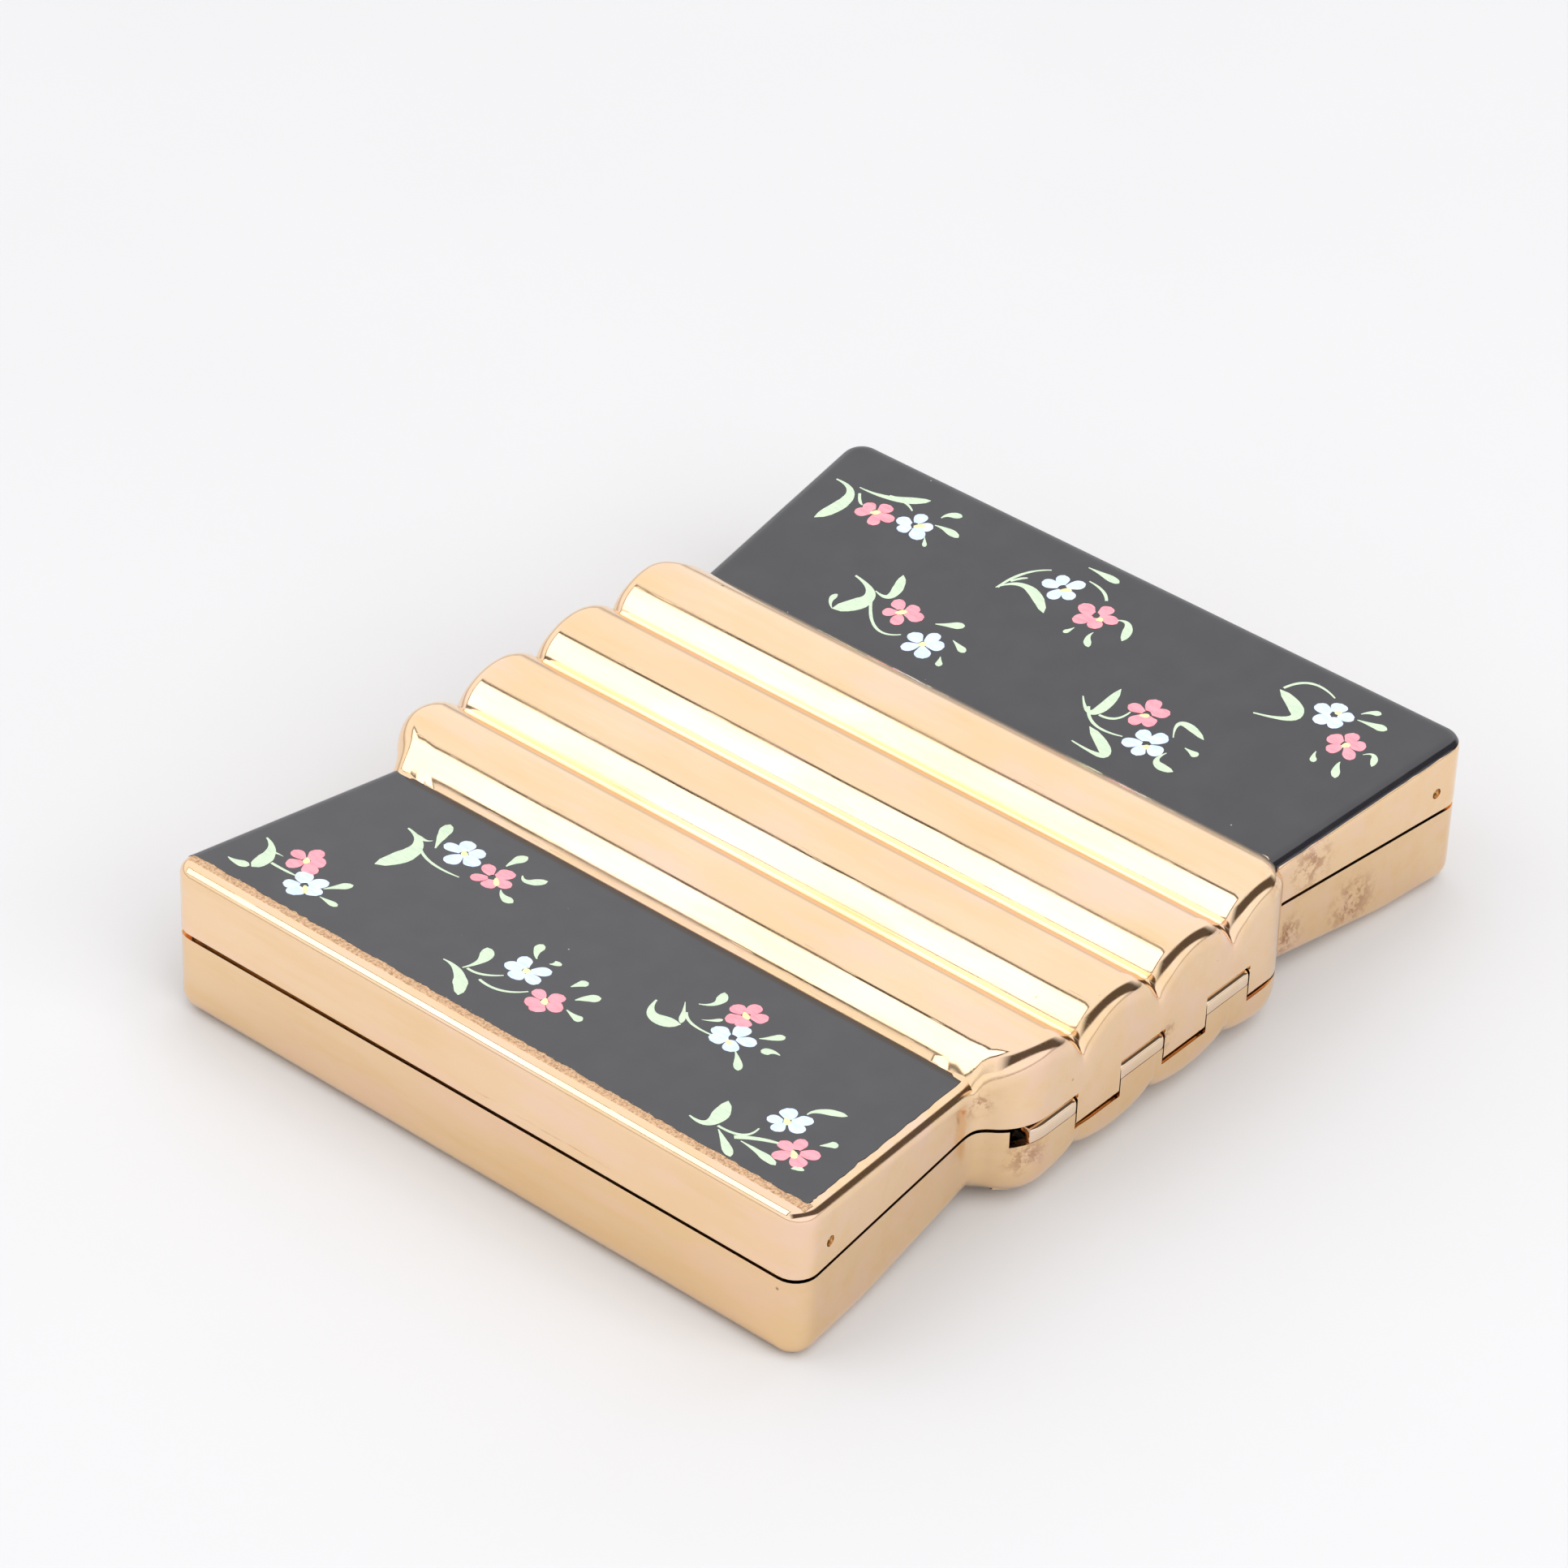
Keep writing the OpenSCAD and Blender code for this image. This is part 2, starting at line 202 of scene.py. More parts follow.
class Nodes:
    """Short ways to add nodes to a tree."""

    def __init__(self, tree, coordinates):
        self.tree = tree
        self.place = tree.nodes.new("ShaderNodeTexCoord").outputs[coordinates]

    def node(self, kind, out=0, settings=None, **inputs):
        made = self.tree.nodes.new("ShaderNode" + kind)
        for key, value in (settings or {}).items():
            setattr(made, key, value)
        for key, value in inputs.items():
            self.feed(made.inputs[key.replace("_", " ")], value)
        return made.outputs[out]

    def feed(self, socket, value):
        if isinstance(value, bpy.types.NodeSocket):
            self.tree.links.new(value, socket)
        else:
            socket.default_value = value

    def noise(self, size, detail=4.0, rough=0.5, stretch=(1, 1, 1), shift=(0, 0, 0)):
        """Noise with features of about that size in millimetres."""
        scaled = self.node("Mapping", Vector=self.place, Scale=stretch, Location=shift)
        return self.node("TexNoise", Vector=scaled, Scale=1 / (size * MM), Detail=detail, Roughness=rough)

    def ramp(self, value, *stops):
        """Maps a value through (position, level) stops."""
        made = self.tree.nodes.new("ShaderNodeValToRGB")
        self.tree.links.new(value, made.inputs[0])
        points = made.color_ramp.elements
        while len(points) < len(stops):
            points.new(0.5)
        for point, (position, level) in zip(points, stops):
            point.position = position
            point.color = (*level, 1) if hasattr(level, "__len__") else (level, level, level, 1)
        return made.outputs[0]

    def mix(self, amount, a, b, how="MIX"):
        made = self.tree.nodes.new("ShaderNodeMix")
        made.data_type = "RGBA"
        made.blend_type = how
        for socket, value in ((made.inputs[0], amount), (made.inputs[6], a), (made.inputs[7], b)):
            if isinstance(value, tuple):
                value = (*value, 1)
            self.feed(socket, value)
        return made.outputs[2]

    def math(self, how, a, b=0.0):
        made = self.tree.nodes.new("ShaderNodeMath")
        made.operation = how
        self.feed(made.inputs[0], a)
        self.feed(made.inputs[1], b)
        return made.outputs[0]

    def near(self, centre, size):
        """1 at a point in millimetres, falling to 0 at about the given distance."""
        away = self.node("VectorMath", out="Value", settings={"operation": "DISTANCE"}, Vector=self.place)
        away.node.inputs[1].default_value = tuple(c * MM for c in centre)
        return self.node("MapRange", settings={"interpolation_type": "SMOOTHSTEP"}, Value=away,
                         From_Min=0.0, From_Max=size * MM, To_Min=1.0, To_Max=0.0)

    def bump(self, height, depth, below=None):
        """Bump of that depth in millimetres."""
        made = self.tree.nodes.new("ShaderNodeBump")
        made.inputs["Distance"].default_value = depth * MM
        made.inputs["Strength"].default_value = 1.0
        self.tree.links.new(height, made.inputs["Height"])
        if below is not None:
            self.tree.links.new(below, made.inputs["Normal"])
        return made.outputs[0]


class Look(Nodes):
    """A material with a principled shader."""

    def __init__(self, name, **shader):
        self.material = bpy.data.materials.new(name)
        self.material.use_nodes = True
        super().__init__(self.material.node_tree, "Object")
        self.shader = self.tree.nodes["Principled BSDF"]
        for key, value in shader.items():
            self.shader.inputs[key.replace("_", " ")].default_value = value

    def finish(self, **inputs):
        for key, value in inputs.items():
            self.feed(self.shader.inputs[key.replace("_", " ")], value)
        return self.material


def worn_gold(name, tarnish=(), tone=(1, 1, 1)):
    """Polished gold-tone brass with rubbing along Y, hairlines, specks and brown tarnish patches."""
    def shade(*colour):
        return tuple(min(1.0, c * t) for c, t in zip(colour, tone))

    look = Look(name, Metallic=1.0, Roughness=0.12)
    tint = look.ramp(look.noise(14, 3), (0.35, shade(0.92, 0.655, 0.40)), (0.65, shade(0.94, 0.695, 0.465)))
    rubbed = look.noise(1.6, 5, 0.6, stretch=(1, 0.12, 1))
    colour = look.mix(look.ramp(rubbed, (0.45, 0.0), (0.70, 0.55)), tint, shade(0.90, 0.61, 0.33))
    blush = look.noise(3.5, 3, 0.5, stretch=(1, 0.25, 1), shift=(0.02, 0.01, 0))
    colour = look.mix(look.ramp(blush, (0.50, 0.0), (0.68, 0.6)), colour, shade(0.95, 0.67, 0.53))
    streaks = look.noise(0.45, 5, 0.7, stretch=(1, 0.035, 1), shift=(0.013, 0.05, 0.02))
    colour = look.mix(look.ramp(streaks, (0.685, 0.0), (0.72, 0.65)), colour, (0.62, 0.34, 0.15))
    specks = look.node("TexVoronoi", out="Distance", Vector=look.place, Scale=1 / (5.5 * MM))
    speck_mask = look.ramp(specks, (0.018, 0.85), (0.035, 0.0))
    colour = look.mix(speck_mask, colour, (0.22, 0.11, 0.05))
    stain = look.noise(0.9, 8, 0.76)
    dirt = None
    for centre, size in tarnish:
        patch = look.math("MULTIPLY", look.near(centre, size), look.ramp(stain, (0.47, 0.0), (0.56, 1.0)))
        dirt = patch if dirt is None else look.math("MAXIMUM", dirt, patch)
    if dirt is not None:
        colour = look.mix(look.math("MULTIPLY", dirt, 0.75), colour, (0.36, 0.15, 0.08))
    hairs = look.noise(0.10, 2, 0.5, stretch=(1, 0.02, 1))
    cross_hairs = look.noise(0.12, 2, 0.5, stretch=(0.03, 1, 0.03), shift=(0.4, 0.1, 0.2))
    scratches = look.math("MAXIMUM", look.ramp(hairs, (0.66, 0.0), (0.74, 1.0)),
                          look.ramp(cross_hairs, (0.70, 0.0), (0.78, 0.7)))
    rough = look.math("ADD", look.ramp(rubbed, (0.35, 0.07), (0.75, 0.17)),
                      look.math("MULTIPLY", scratches, 0.12))
    if dirt is not None:
        rough = look.math("ADD", rough, look.math("MULTIPLY", dirt, 0.3))
    waves = look.bump(look.noise(5, 1), 0.018)
    fine = look.bump(look.math("SUBTRACT", 1.0, scratches), 0.0015, waves)
    return look.finish(Base_Color=colour, Roughness=rough, Normal=fine)


def satin_gold(name):
    """Inside metal: the same brass, brushed and less handled."""
    look = Look(name, Metallic=1.0, Roughness=0.3)
    tint = look.ramp(look.noise(9, 3), (0.35, (0.82, 0.60, 0.33)), (0.65, (0.88, 0.66, 0.40)))
    grain = look.noise(0.08, 3, 0.6, stretch=(0.03, 1, 1))
    rough = look.ramp(grain, (0.3, 0.22), (0.7, 0.38))
    return look.finish(Base_Color=tint, Roughness=rough, Normal=look.bump(grain, 0.003))


def etched_gold():
    """Bare metal that the enamel came away from: fine sand-like pits, dull and a little red."""
    look = Look("etched_gold", Metallic=1.0)
    pits = look.noise(0.22, 5, 0.8)
    tint = look.ramp(pits, (0.36, (0.42, 0.24, 0.13)), (0.56, (0.90, 0.60, 0.36)))
    return look.finish(Base_Color=tint, Roughness=look.ramp(pits, (0.3, 0.5), (0.7, 0.28)),
                       Normal=look.bump(pits, 0.05))


def drawn_steel(name, colour):
    """Wire and spring strip with drawing lines and a little rust in them."""
    look = Look(name, Metallic=1.0)
    grain = look.noise(0.15, 4, 0.6, stretch=(0.05, 1, 1))
    stain = look.ramp(look.noise(0.8, 6, 0.7), (0.5, 0.0), (0.72, 0.5))
    tint = look.mix(stain, colour, (0.32, 0.20, 0.12))
    return look.finish(Base_Color=tint, Roughness=look.ramp(grain, (0.3, 0.28), (0.7, 0.45)),
                       Normal=look.bump(grain, 0.002))


def black_enamel():
    """Glossy fired enamel, almost black, with slow waves, hairlines and dust."""
    look = Look("black_enamel", IOR=1.72)
    tint = look.ramp(look.noise(3, 5), (0.4, (0.014, 0.014, 0.018)), (0.7, (0.020, 0.020, 0.024)))
    dust = look.node("TexVoronoi", out="Distance", Vector=look.place, Scale=1 / (3.2 * MM))
    tint = look.mix(look.ramp(dust, (0.010, 0.8), (0.022, 0.0)), tint, (0.55, 0.55, 0.52))
    hairs = look.noise(0.15, 2, 0.5, stretch=(0.05, 1, 1), shift=(0.3, 0, 0))
    rough = look.math("ADD", look.ramp(look.noise(2.2, 6, 0.65), (0.35, 0.06), (0.75, 0.13)),
                      look.ramp(hairs, (0.70, 0.0), (0.78, 0.10)))
    return look.finish(Base_Color=tint, Roughness=rough, Normal=look.bump(look.noise(7, 1), 0.02))


def brush_paint(name, colour, shade):
    """Hand-laid paint in two shades, mixed in fine streaks."""
    look = Look(name, IOR=1.5)
    streaks = look.noise(0.35, 4, 0.6, stretch=(1, 0.35, 1))
    tint = look.ramp(streaks, (0.36, shade), (0.58, colour))
    return look.finish(Base_Color=tint, Roughness=look.ramp(streaks, (0.3, 0.22), (0.7, 0.38)),
                       Normal=look.bump(streaks, 0.012))


def mirror_glass():
    """Silvered glass with a few black age spots and finger smears."""
    look = Look("mirror_glass", Metallic=1.0)
    spots = look.ramp(look.noise(1.1, 6, 0.7), (0.70, 0.0), (0.76, 0.7))
    tint = look.mix(spots, (0.90, 0.92, 0.92), (0.35, 0.33, 0.30))
    smear = look.ramp(look.noise(6, 5, 0.6, stretch=(1, 0.4, 1)), (0.45, 0.015), (0.75, 0.09))
    return look.finish(Base_Color=tint, Roughness=smear)


def card():
    look = Look("backing_card", Roughness=0.85)
    pulp = look.noise(0.5, 6, 0.7)
    tint = look.ramp(pulp, (0.3, (0.36, 0.29, 0.22)), (0.7, (0.50, 0.42, 0.33)))
    return look.finish(Base_Color=tint, Normal=look.bump(pulp, 0.02))


def pressed_powder():
    """Matt face powder with fine grain and pale bloom."""
    look = Look("pressed_powder", Roughness=0.95)
    grain = look.noise(0.12, 6, 0.75)
    bloom = look.noise(5, 4, 0.6)
    tint = look.mix(look.ramp(bloom, (0.4, 0.0), (0.7, 0.6)), (0.78, 0.53, 0.38), (0.86, 0.64, 0.50))
    tint = look.mix(look.ramp(grain, (0.62, 0.0), (0.75, 0.5)), tint, (0.92, 0.76, 0.64))
    look.shader.inputs["Sheen Weight"].default_value = 0.25
    return look.finish(Base_Color=tint, Normal=look.bump(grain, 0.05))


def velour():
    """Short cotton pile: soft sheen, tufts that lie in different directions."""
    look = Look("puff_velour", Roughness=0.95)
    look.shader.inputs["Sheen Weight"].default_value = 0.7
    look.shader.inputs["Sheen Roughness"].default_value = 0.45
    pile = look.noise(0.16, 5, 0.8)
    nap = look.noise(2.5, 4, 0.6)
    tint = look.ramp(nap, (0.35, (0.84, 0.67, 0.50)), (0.65, (0.93, 0.79, 0.64)))
    tint = look.mix(look.ramp(pile, (0.30, 0.40), (0.52, 0.0)), tint, (0.60, 0.43, 0.30))
    return look.finish(Base_Color=tint, Normal=look.bump(pile, 0.14, look.bump(nap, 0.12)))


def satin():
    """Satin ribbon: fine ribs of floating threads across its width and a soft streaky gloss."""
    look = Look("puff_ribbon", Roughness=0.35)
    look.shader.inputs["Sheen Weight"].default_value = 0.3
    threads = look.node("TexWave", settings={"bands_direction": "Y"}, Vector=look.place,
                        Scale=1 / (0.9 * MM), Distortion=0.6, Detail=2.0)
    slubs = look.noise(0.5, 3, 0.6, stretch=(0.05, 1, 1))
    tint = look.mix(look.ramp(slubs, (0.4, 0.0), (0.7, 1.0)), (0.80, 0.53, 0.50), (0.90, 0.67, 0.63))
    return look.finish(Base_Color=tint, Roughness=look.ramp(slubs, (0.3, 0.28), (0.7, 0.45)),
                       Normal=look.bump(threads, 0.02))


# Where the gold is tarnished: the middle of a patch and how far it reaches, in millimetres
TARNISH = [((-21, 28.4, 9.2), 3.4), ((-19, 27.4, 3.8), 2.6), ((-26, 28.6, 3.4), 3.6), ((14, 29.3, 4.5), 2.4),
           ((-16.5, 28.5, 10.8), 1.9), ((-13.5, 29.2, 12.4), 1.6), ((-1, 30, 6.5), 1.6),
           ((17, 27.5, 9.5), 1.6), ((12, -29, 6.0), 3.2), ((-37.5, 6, 4.0), 2.4), ((16, -27, 9), 2.5)]
GOLD = worn_gold("worn_gold", TARNISH)
# The base's gold is a darker, slightly warmer copy of the lid's gold. This is painted shade, standing in for
# the shade the base gets down by the floor.
SHADED_BASE_GOLD = worn_gold("shaded_base_gold", TARNISH, tone=(0.93, 0.915, 0.86))
HINGE_GOLD = worn_gold("worn_hinge_gold", tone=(0.97, 1.06, 1.22))
SATIN_GOLD = satin_gold("satin_gold")
ETCHED_GOLD = etched_gold()
STEEL = drawn_steel("drawn_steel", (0.50, 0.47, 0.42))
SPRING = drawn_steel("spring_steel", (0.62, 0.62, 0.63))
ENAMEL = black_enamel()
LEAF_PAINT = brush_paint("leaf_green_paint", (0.58, 0.70, 0.51), (0.52, 0.65, 0.48))
PINK_PAINT = brush_paint("petal_pink_paint", (0.98, 0.34, 0.40), (0.95, 0.27, 0.33))
BLUE_PAINT = brush_paint("petal_blue_paint", (0.66, 0.75, 0.93), (0.55, 0.67, 0.90))
YELLOW_PAINT = brush_paint("flower_eye_paint", (0.92, 0.88, 0.42), (0.88, 0.80, 0.34))


# ---------- pressed shells ----------


def edge_line(x):
    """Half depth of a wing's slanted edge at that distance from the middle."""
    return HALF_WAIST + math.tan(FLARE) * (x - HALF_BAND)


# Centre of a wing's rounded corner in plan
CORNER_X = HALF_W - WING_CORNER
CORNER_Y = edge_line(CORNER_X) - WING_CORNER / math.cos(FLARE)


def wing_z(x):
    return NECK_Z + (EDGE_Z - NECK_Z) * (abs(x) - HALF_BAND) / (HALF_W - HALF_BAND)


def rib_height(x, rise_mm, soft=0.2):
    """Height of the ribs above their valleys: round tops that meet in narrow soft valleys."""
    radius = ((PITCH / 2) ** 2 + rise_mm ** 2) / (2 * rise_mm)
    across = abs((x + HALF_BAND) % PITCH - PITCH / 2)
    foot = PITCH / 2 - soft
    if across < foot or abs(x) > HALF_BAND - PITCH / 2:
        across = min(across, PITCH / 2)
        return math.sqrt(radius ** 2 - across ** 2) - radius + rise_mm
    at_foot = math.sqrt(radius ** 2 - foot ** 2)
    slope = foot / at_foot
    into = PITCH / 2 - across
    return at_foot - radius + rise_mm - slope * (soft ** 2 - into ** 2) / (2 * soft)


def lid_height(x):
    """Height of the lid's top above its seam."""
    if abs(x) >= HALF_BAND:
        return wing_z(x) - LID_SEAM
    return NECK_Z - LID_SEAM + max(rib_height(x, LID_RISE), -0.02)


def base_height(x):
    """Depth of the base below its seam: a rest land, a slope and ribs, all pressed outwards."""
    if abs(x) >= HALF_BAND:
        return BASE_SEAM - UNDER_RISE * (1 - min(1, (abs(x) - HALF_BAND) / (LAND_X - HALF_BAND)))
    return BASE_SEAM - UNDER_RISE + rib_height(x, BASE_RISE, 0.5)


def band_corner(y_end):
    """Centre of a band corner in plan, and the angle on it where the wing's edge meets it."""
    centre = np.array([HALF_BAND - BAND_CORNER, y_end - BAND_CORNER])
    angles = np.radians(np.linspace(0, 80, 801))
    x = centre[0] + BAND_CORNER * np.cos(angles)
    y = centre[1] + BAND_CORNER * np.sin(angles)
    meeting = np.argmin(abs(y - edge_line(x)))
    return centre, angles[meeting]


def stations(marks):
    """Places along one long side of the outline, from the +X corner to the middle.

    Each is (kind, value): a share of an arc, or a distance from the middle. Marks are extra
    distances, where the wall has a notch.
    """
    centre, meeting = band_corner(REAR)
    places = [("corner", s) for s in np.linspace(0, 1, 9)]
    gaps = [18, 16.8, 15.6, 14.4, 13.2, 12, 10.8, 9.6, 8.4, 7.2, 6, 4.8, 3.7, 2.7, 1.9, 1.3, 0.8, 0.45, 0.2]
    places += [("edge", HALF_BAND + gap) for gap in gaps]
    shares = list(np.linspace(0, 1, 15)[:-1])
    for mark in marks:
        if mark > centre[0]:
            turn = math.acos((mark - centre[0]) / BAND_CORNER)
            shares.append((turn - meeting) / (math.pi / 2 - meeting))
    places += [("arc", s) for s in sorted(shares)]
    across = list(np.linspace(centre[0], 0, 60))
    for valley in (PITCH, 0):
        across = [x for x in across if abs(x - valley) > 0.4]
        across += [valley + side * gap for gap in (0.06, 0.12, 0.19, 0.28, 0.39) for side in (-1, 1)]
        across.append(valley)
    for mark in marks:
        if mark < centre[0]:
            across[int(np.argmin([abs(x - mark) for x in across]))] = mark
    return places + [("end", x) for x in sorted(across, reverse=True) if x >= 0]


def long_side(places, y_end, edge_r, end_r):
    """Outline points, inward directions, edge radii and inner columns for one long side."""
    centre, meeting = band_corner(y_end)
    outline, column, radius = [], [], []

    def round_corner(middle, r, turn):
        outline.append((middle[0] + r * math.cos(turn), middle[1] + r * math.sin(turn)))

    for kind, value in places:
        if kind == "corner":
            turn = value * (math.pi / 2 + FLARE)
            round_corner((CORNER_X, CORNER_Y), WING_CORNER, turn)
            column.append(CORNER_X + (WING_CORNER - edge_r) * math.cos(turn))
        elif kind == "edge":
            outline.append((value, edge_line(value)))
            column.append(value)
        elif kind == "arc":
            turn = meeting + value * (math.pi / 2 - meeting)
            round_corner(centre, BAND_CORNER, turn)
            column.append(HALF_BAND + (centre[0] - HALF_BAND) * value)
        else:
            outline.append((value, y_end))
            column.append(value)
        radius.append(end_r if kind in ("arc", "end") else edge_r)
    outline = np.array(outline)
    column = np.array(column)
    radius = np.array(radius, float)
    crease = next(i for i, place in enumerate(places) if place[0] == "arc")
    near = slice(crease - 3, crease + 4)
    for _ in range(8):
        relaxed = outline.copy()
        relaxed[1:-1] = (outline[:-2] + 2 * outline[1:-1] + outline[2:]) / 4
        outline[near] = relaxed[near]
        radius[1:-1] = (radius[:-2] + 2 * radius[1:-1] + radius[2:]) / 4
    return outline, column, radius


class ShellGrid:
    """Rows of points round the outline, from the seam up over the edge, then a field across the top."""

    ACROSS = 44
    EDGE_STEPS = 9
    WALL_SHARES = (0.45, 0.8, 0.95)

    def __init__(self, height, edge_r, end_r, wall_levels, marks, flute):
        self.height = height
        self.flute = flute
        right = stations(marks["right"])
        left = stations(marks["left"])
        self.points = []
        self.faces = []
        self.sides = {}
        for sign, y_end in ((1, REAR), (-1, FRONT)):
            a = long_side(right, y_end, edge_r, end_r)
            b = long_side(left, y_end, edge_r, end_r)
            outline = np.vstack([a[0], b[0][-2::-1] * (-1, 1)]) * (1, sign)
            column = np.concatenate([a[1], -b[1][-2::-1]])
            radius = np.concatenate([a[2], b[2][-2::-1]])
            self.sides[sign] = (outline, column, radius)
        self.columns = len(self.sides[1][1])
        self.build_loop()
        self.build_rows(wall_levels)
        self.build_field()

    def build_loop(self):
        """The outline as one loop: +Y side, -X side, -Y side, +X side."""
        rear, _, rear_r = self.sides[1]
        front, _, front_r = self.sides[-1]
        share = 0.5 - 0.5 * np.cos(np.pi * np.arange(self.ACROSS + 1) / self.ACROSS)
        self.share = share

        def side(start, end):
            return [start + (end - start) * s for s in share[1:-1]]

        loop = list(rear) + side(rear[-1], front[-1]) + list(front[::-1]) + side(front[0], rear[0])
        edge = [rear_r[0]] * (self.ACROSS - 1)
        self.loop = np.array(loop)
        self.radius = np.concatenate([rear_r, edge, front_r[::-1], edge])
        along = np.roll(self.loop, -1, 0) - np.roll(self.loop, 1, 0)
        along /= np.linalg.norm(along, axis=1)[:, None]
        self.inward = np.stack([-along[:, 1], along[:, 0]], 1)

    def add_row(self, offset, height):
        """A ring of points. Under each valley the wall is pressed in, and this fades downwards."""
        start = len(self.points)
        for i, (x, y) in enumerate(self.loop):
            pressed = 0.0
            if abs(x) < HALF_BAND - BAND_CORNER:
                from_valley = abs((x + PITCH / 2) % PITCH - PITCH / 2)
                pressed = self.flute * max(0.0, 1 - from_valley / 1.3) ** 1.6 * rise(height[i], 1.6, 4.2)
            at = self.loop[i] + self.inward[i] * (offset[i] + pressed)
            self.points.append([at[0], at[1], height[i]])
        return np.arange(start, start + len(self.loop))

    def build_rows(self, wall_levels):
        n = len(self.loop)
        top = np.array([self.height(x) for x, _ in self.loop])
        wall_top = top - self.radius
        heights = [np.full(n, level) for level in wall_levels]
        heights += [heights[-1] + (wall_top - heights[-1]) * share for share in self.WALL_SHARES]
        self.rows = [self.add_row(np.zeros(n), height) for height in heights]
        for step in range(self.EDGE_STEPS + 1):
            turn = math.pi / 2 * step / self.EDGE_STEPS
            offset = self.radius * (1 - math.cos(turn))
            at = self.loop + self.inward * offset[:, None]
            top = np.array([self.height(x) for x, _ in at])
            self.rows.append(self.add_row(offset, top - self.radius * (1 - math.sin(turn))))
        for low, high in zip(self.rows, self.rows[1:]):
            for i in range(n):
                j = (i + 1) % n
                self.faces.append((low[i], low[j], high[j], high[i]))

    def build_field(self):
        """Columns across the top that join the inner row's two long sides."""
        inner = self.rows[-1]
        n, columns, across = len(inner), self.columns, self.ACROSS
        rear = inner[:columns]
        front = inner[columns + across - 1:2 * columns + across - 1][::-1]
        ids = np.zeros((columns, across + 1), int)
        ids[:, 0], ids[:, -1] = rear, front
        ids[-1, 1:-1] = inner[columns:columns + across - 1]
        ids[0, 1:-1] = inner[2 * columns + across - 1:][::-1]
        targets = self.sides[1][1]
        for k in range(1, columns - 1):
            a = np.array(self.points[rear[k]])
            b = np.array(self.points[front[k]])
            for m in range(1, across):
                y = a[1] + (b[1] - a[1]) * self.share[m]
                from_end = min(a[1] - y, y - b[1])
                ends_x = a[0] if y > (a[1] + b[1]) / 2 else b[0]
                x = targets[k] + (ends_x - targets[k]) * (1 - rise(from_end, 0, 3.0))
                ids[k, m] = len(self.points)
                self.points.append([x, y, self.height(x)])
        for k in range(columns - 1):
            for m in range(across):
                self.faces.append((ids[k, m], ids[k + 1, m], ids[k + 1, m + 1], ids[k, m + 1]))

    def rear_between(self, x_from, x_to):
        """Loop places on the +Y side whose next place is also inside the range."""
        found = []
        for i in range(self.columns - 1):
            middle = (self.loop[i][0] + self.loop[i + 1][0]) / 2
            if x_from < middle < x_to and self.loop[i][1] > edge_line(HALF_BAND):
                found.append(i)
        return found


def knuckle_span(number, gap=0.06):
    start = HINGE_LEFT - (number + 1) * KNUCKLE
    return start + gap, start + KNUCKLE - gap


def arc_points(centre, radius, start, end, steps):
    """Y and Z points on an arc, with its angles in degrees from +Y towards +Z."""
    turns = np.radians(np.linspace(start, end, steps + 1))
    return [(centre[0] + radius * math.cos(t), centre[1] + radius * math.sin(t)) for t in turns]


CURL_CORNER = 0.55     # outer radius where a knuckle turns out of its flat face
KNUCKLE_LEDGE = 1.4    # the base's wall stops this far below its rim under its own knuckles


def tongue_curl():
    """The lid's wall carried down past the pin, turned in and brought up on its inner side."""
    corner = (REAR - CURL_CORNER, HINGE[1] - 0.85)
    points = [(REAR, (LID_SEAM + HINGE[1]) / 2), (REAR, HINGE[1]), (REAR, HINGE[1] - 0.45)]
    points += arc_points(corner, CURL_CORNER, 0, -80, 6)
    return points + arc_points(HINGE, KNUCKLE_R, -115, -215, 7)


def dent(points, amount=0.012):
    """Slow uneven waves, as in any pressed and handled sheet."""
    for point in points:
        point[2] += amount * wobble(*point, 7.0, 3.1)
        point[1] += amount * wobble(*point, 9.0, 8.7)
        point[0] += amount * wobble(*point, 8.0, 5.3)


def cut(obj, *tools):
    """Cuts the tools' shapes out of the object."""
    for tool in tools:
        add_modifier(obj, "BOOLEAN", operation="DIFFERENCE", object=tool, solver="EXACT")
    apply_modifiers(obj)
    for tool in tools:
        bpy.data.objects.remove(tool)


def rod(name, centre, direction, length, radius_mm, material, sides=32):
    """A round rod about a centre, for cutting holes."""
    axis = Vector(direction).normalized().to_track_quat("Z", "Y").to_matrix()
    rings = []
    for end in (-0.5, 0.5):
        ring = []
        for i in range(sides):
            turn = 2 * math.pi * i / sides
            local = Vector((radius_mm * math.cos(turn), radius_mm * math.sin(turn), end * length))
            ring.append(Vector(centre) + axis @ local)
        rings.append(ring)
    return loft(name, rings, material)


def thicken(obj, thickness):
    add_modifier(obj, "SOLIDIFY", thickness=thickness * MM, offset=-1.0, use_even_offset=False,
                 use_rim=True)
    apply_modifiers(obj)


def make_lid_shell():
    """Lid: wings, ribs and edges in one sheet, with three tongues that curl round the pin."""
    tongues = [knuckle_span(i) for i in (1, 3, 5)]
    ends = [x for span in tongues for x in span]
    grid = ShellGrid(lid_height, 1.0, 1.6, [0, 0.9, 1.6],
                     {"right": [x for x in ends if x > 0], "left": [-x for x in ends if x < 0]}, 0.25)
    for point in grid.points:
        point[2] += LID_SEAM
    for x_from, x_to in tongues:
        places = grid.rear_between(x_from, x_to)
        columns = places + [places[-1] + 1]
        previous = [grid.rows[0][i] for i in columns]
        for y, z in tongue_curl():
            made = []
            for i in columns:
                made.append(len(grid.points))
                grid.points.append([grid.loop[i][0], min(y, grid.loop[i][1]), z])
            for a in range(len(columns) - 1):
                grid.faces.append((made[a], made[a + 1], previous[a + 1], previous[a]))
            previous = made
    dent(grid.points)
    shell = make_object("lid_case", grid.points, grid.faces, GOLD)
    thicken(shell, SHEET)
    holes = []
    for side in (-1, 1):
        for end in (-1, 1):
            x = side * 34.6
            holes.append(rod("hole", (x, end * edge_line(34.6), 9.1), (0, 1, 0), 3, 0.42, GOLD))
    cut(shell, *holes)
    mark_creases(shell)
    return shell


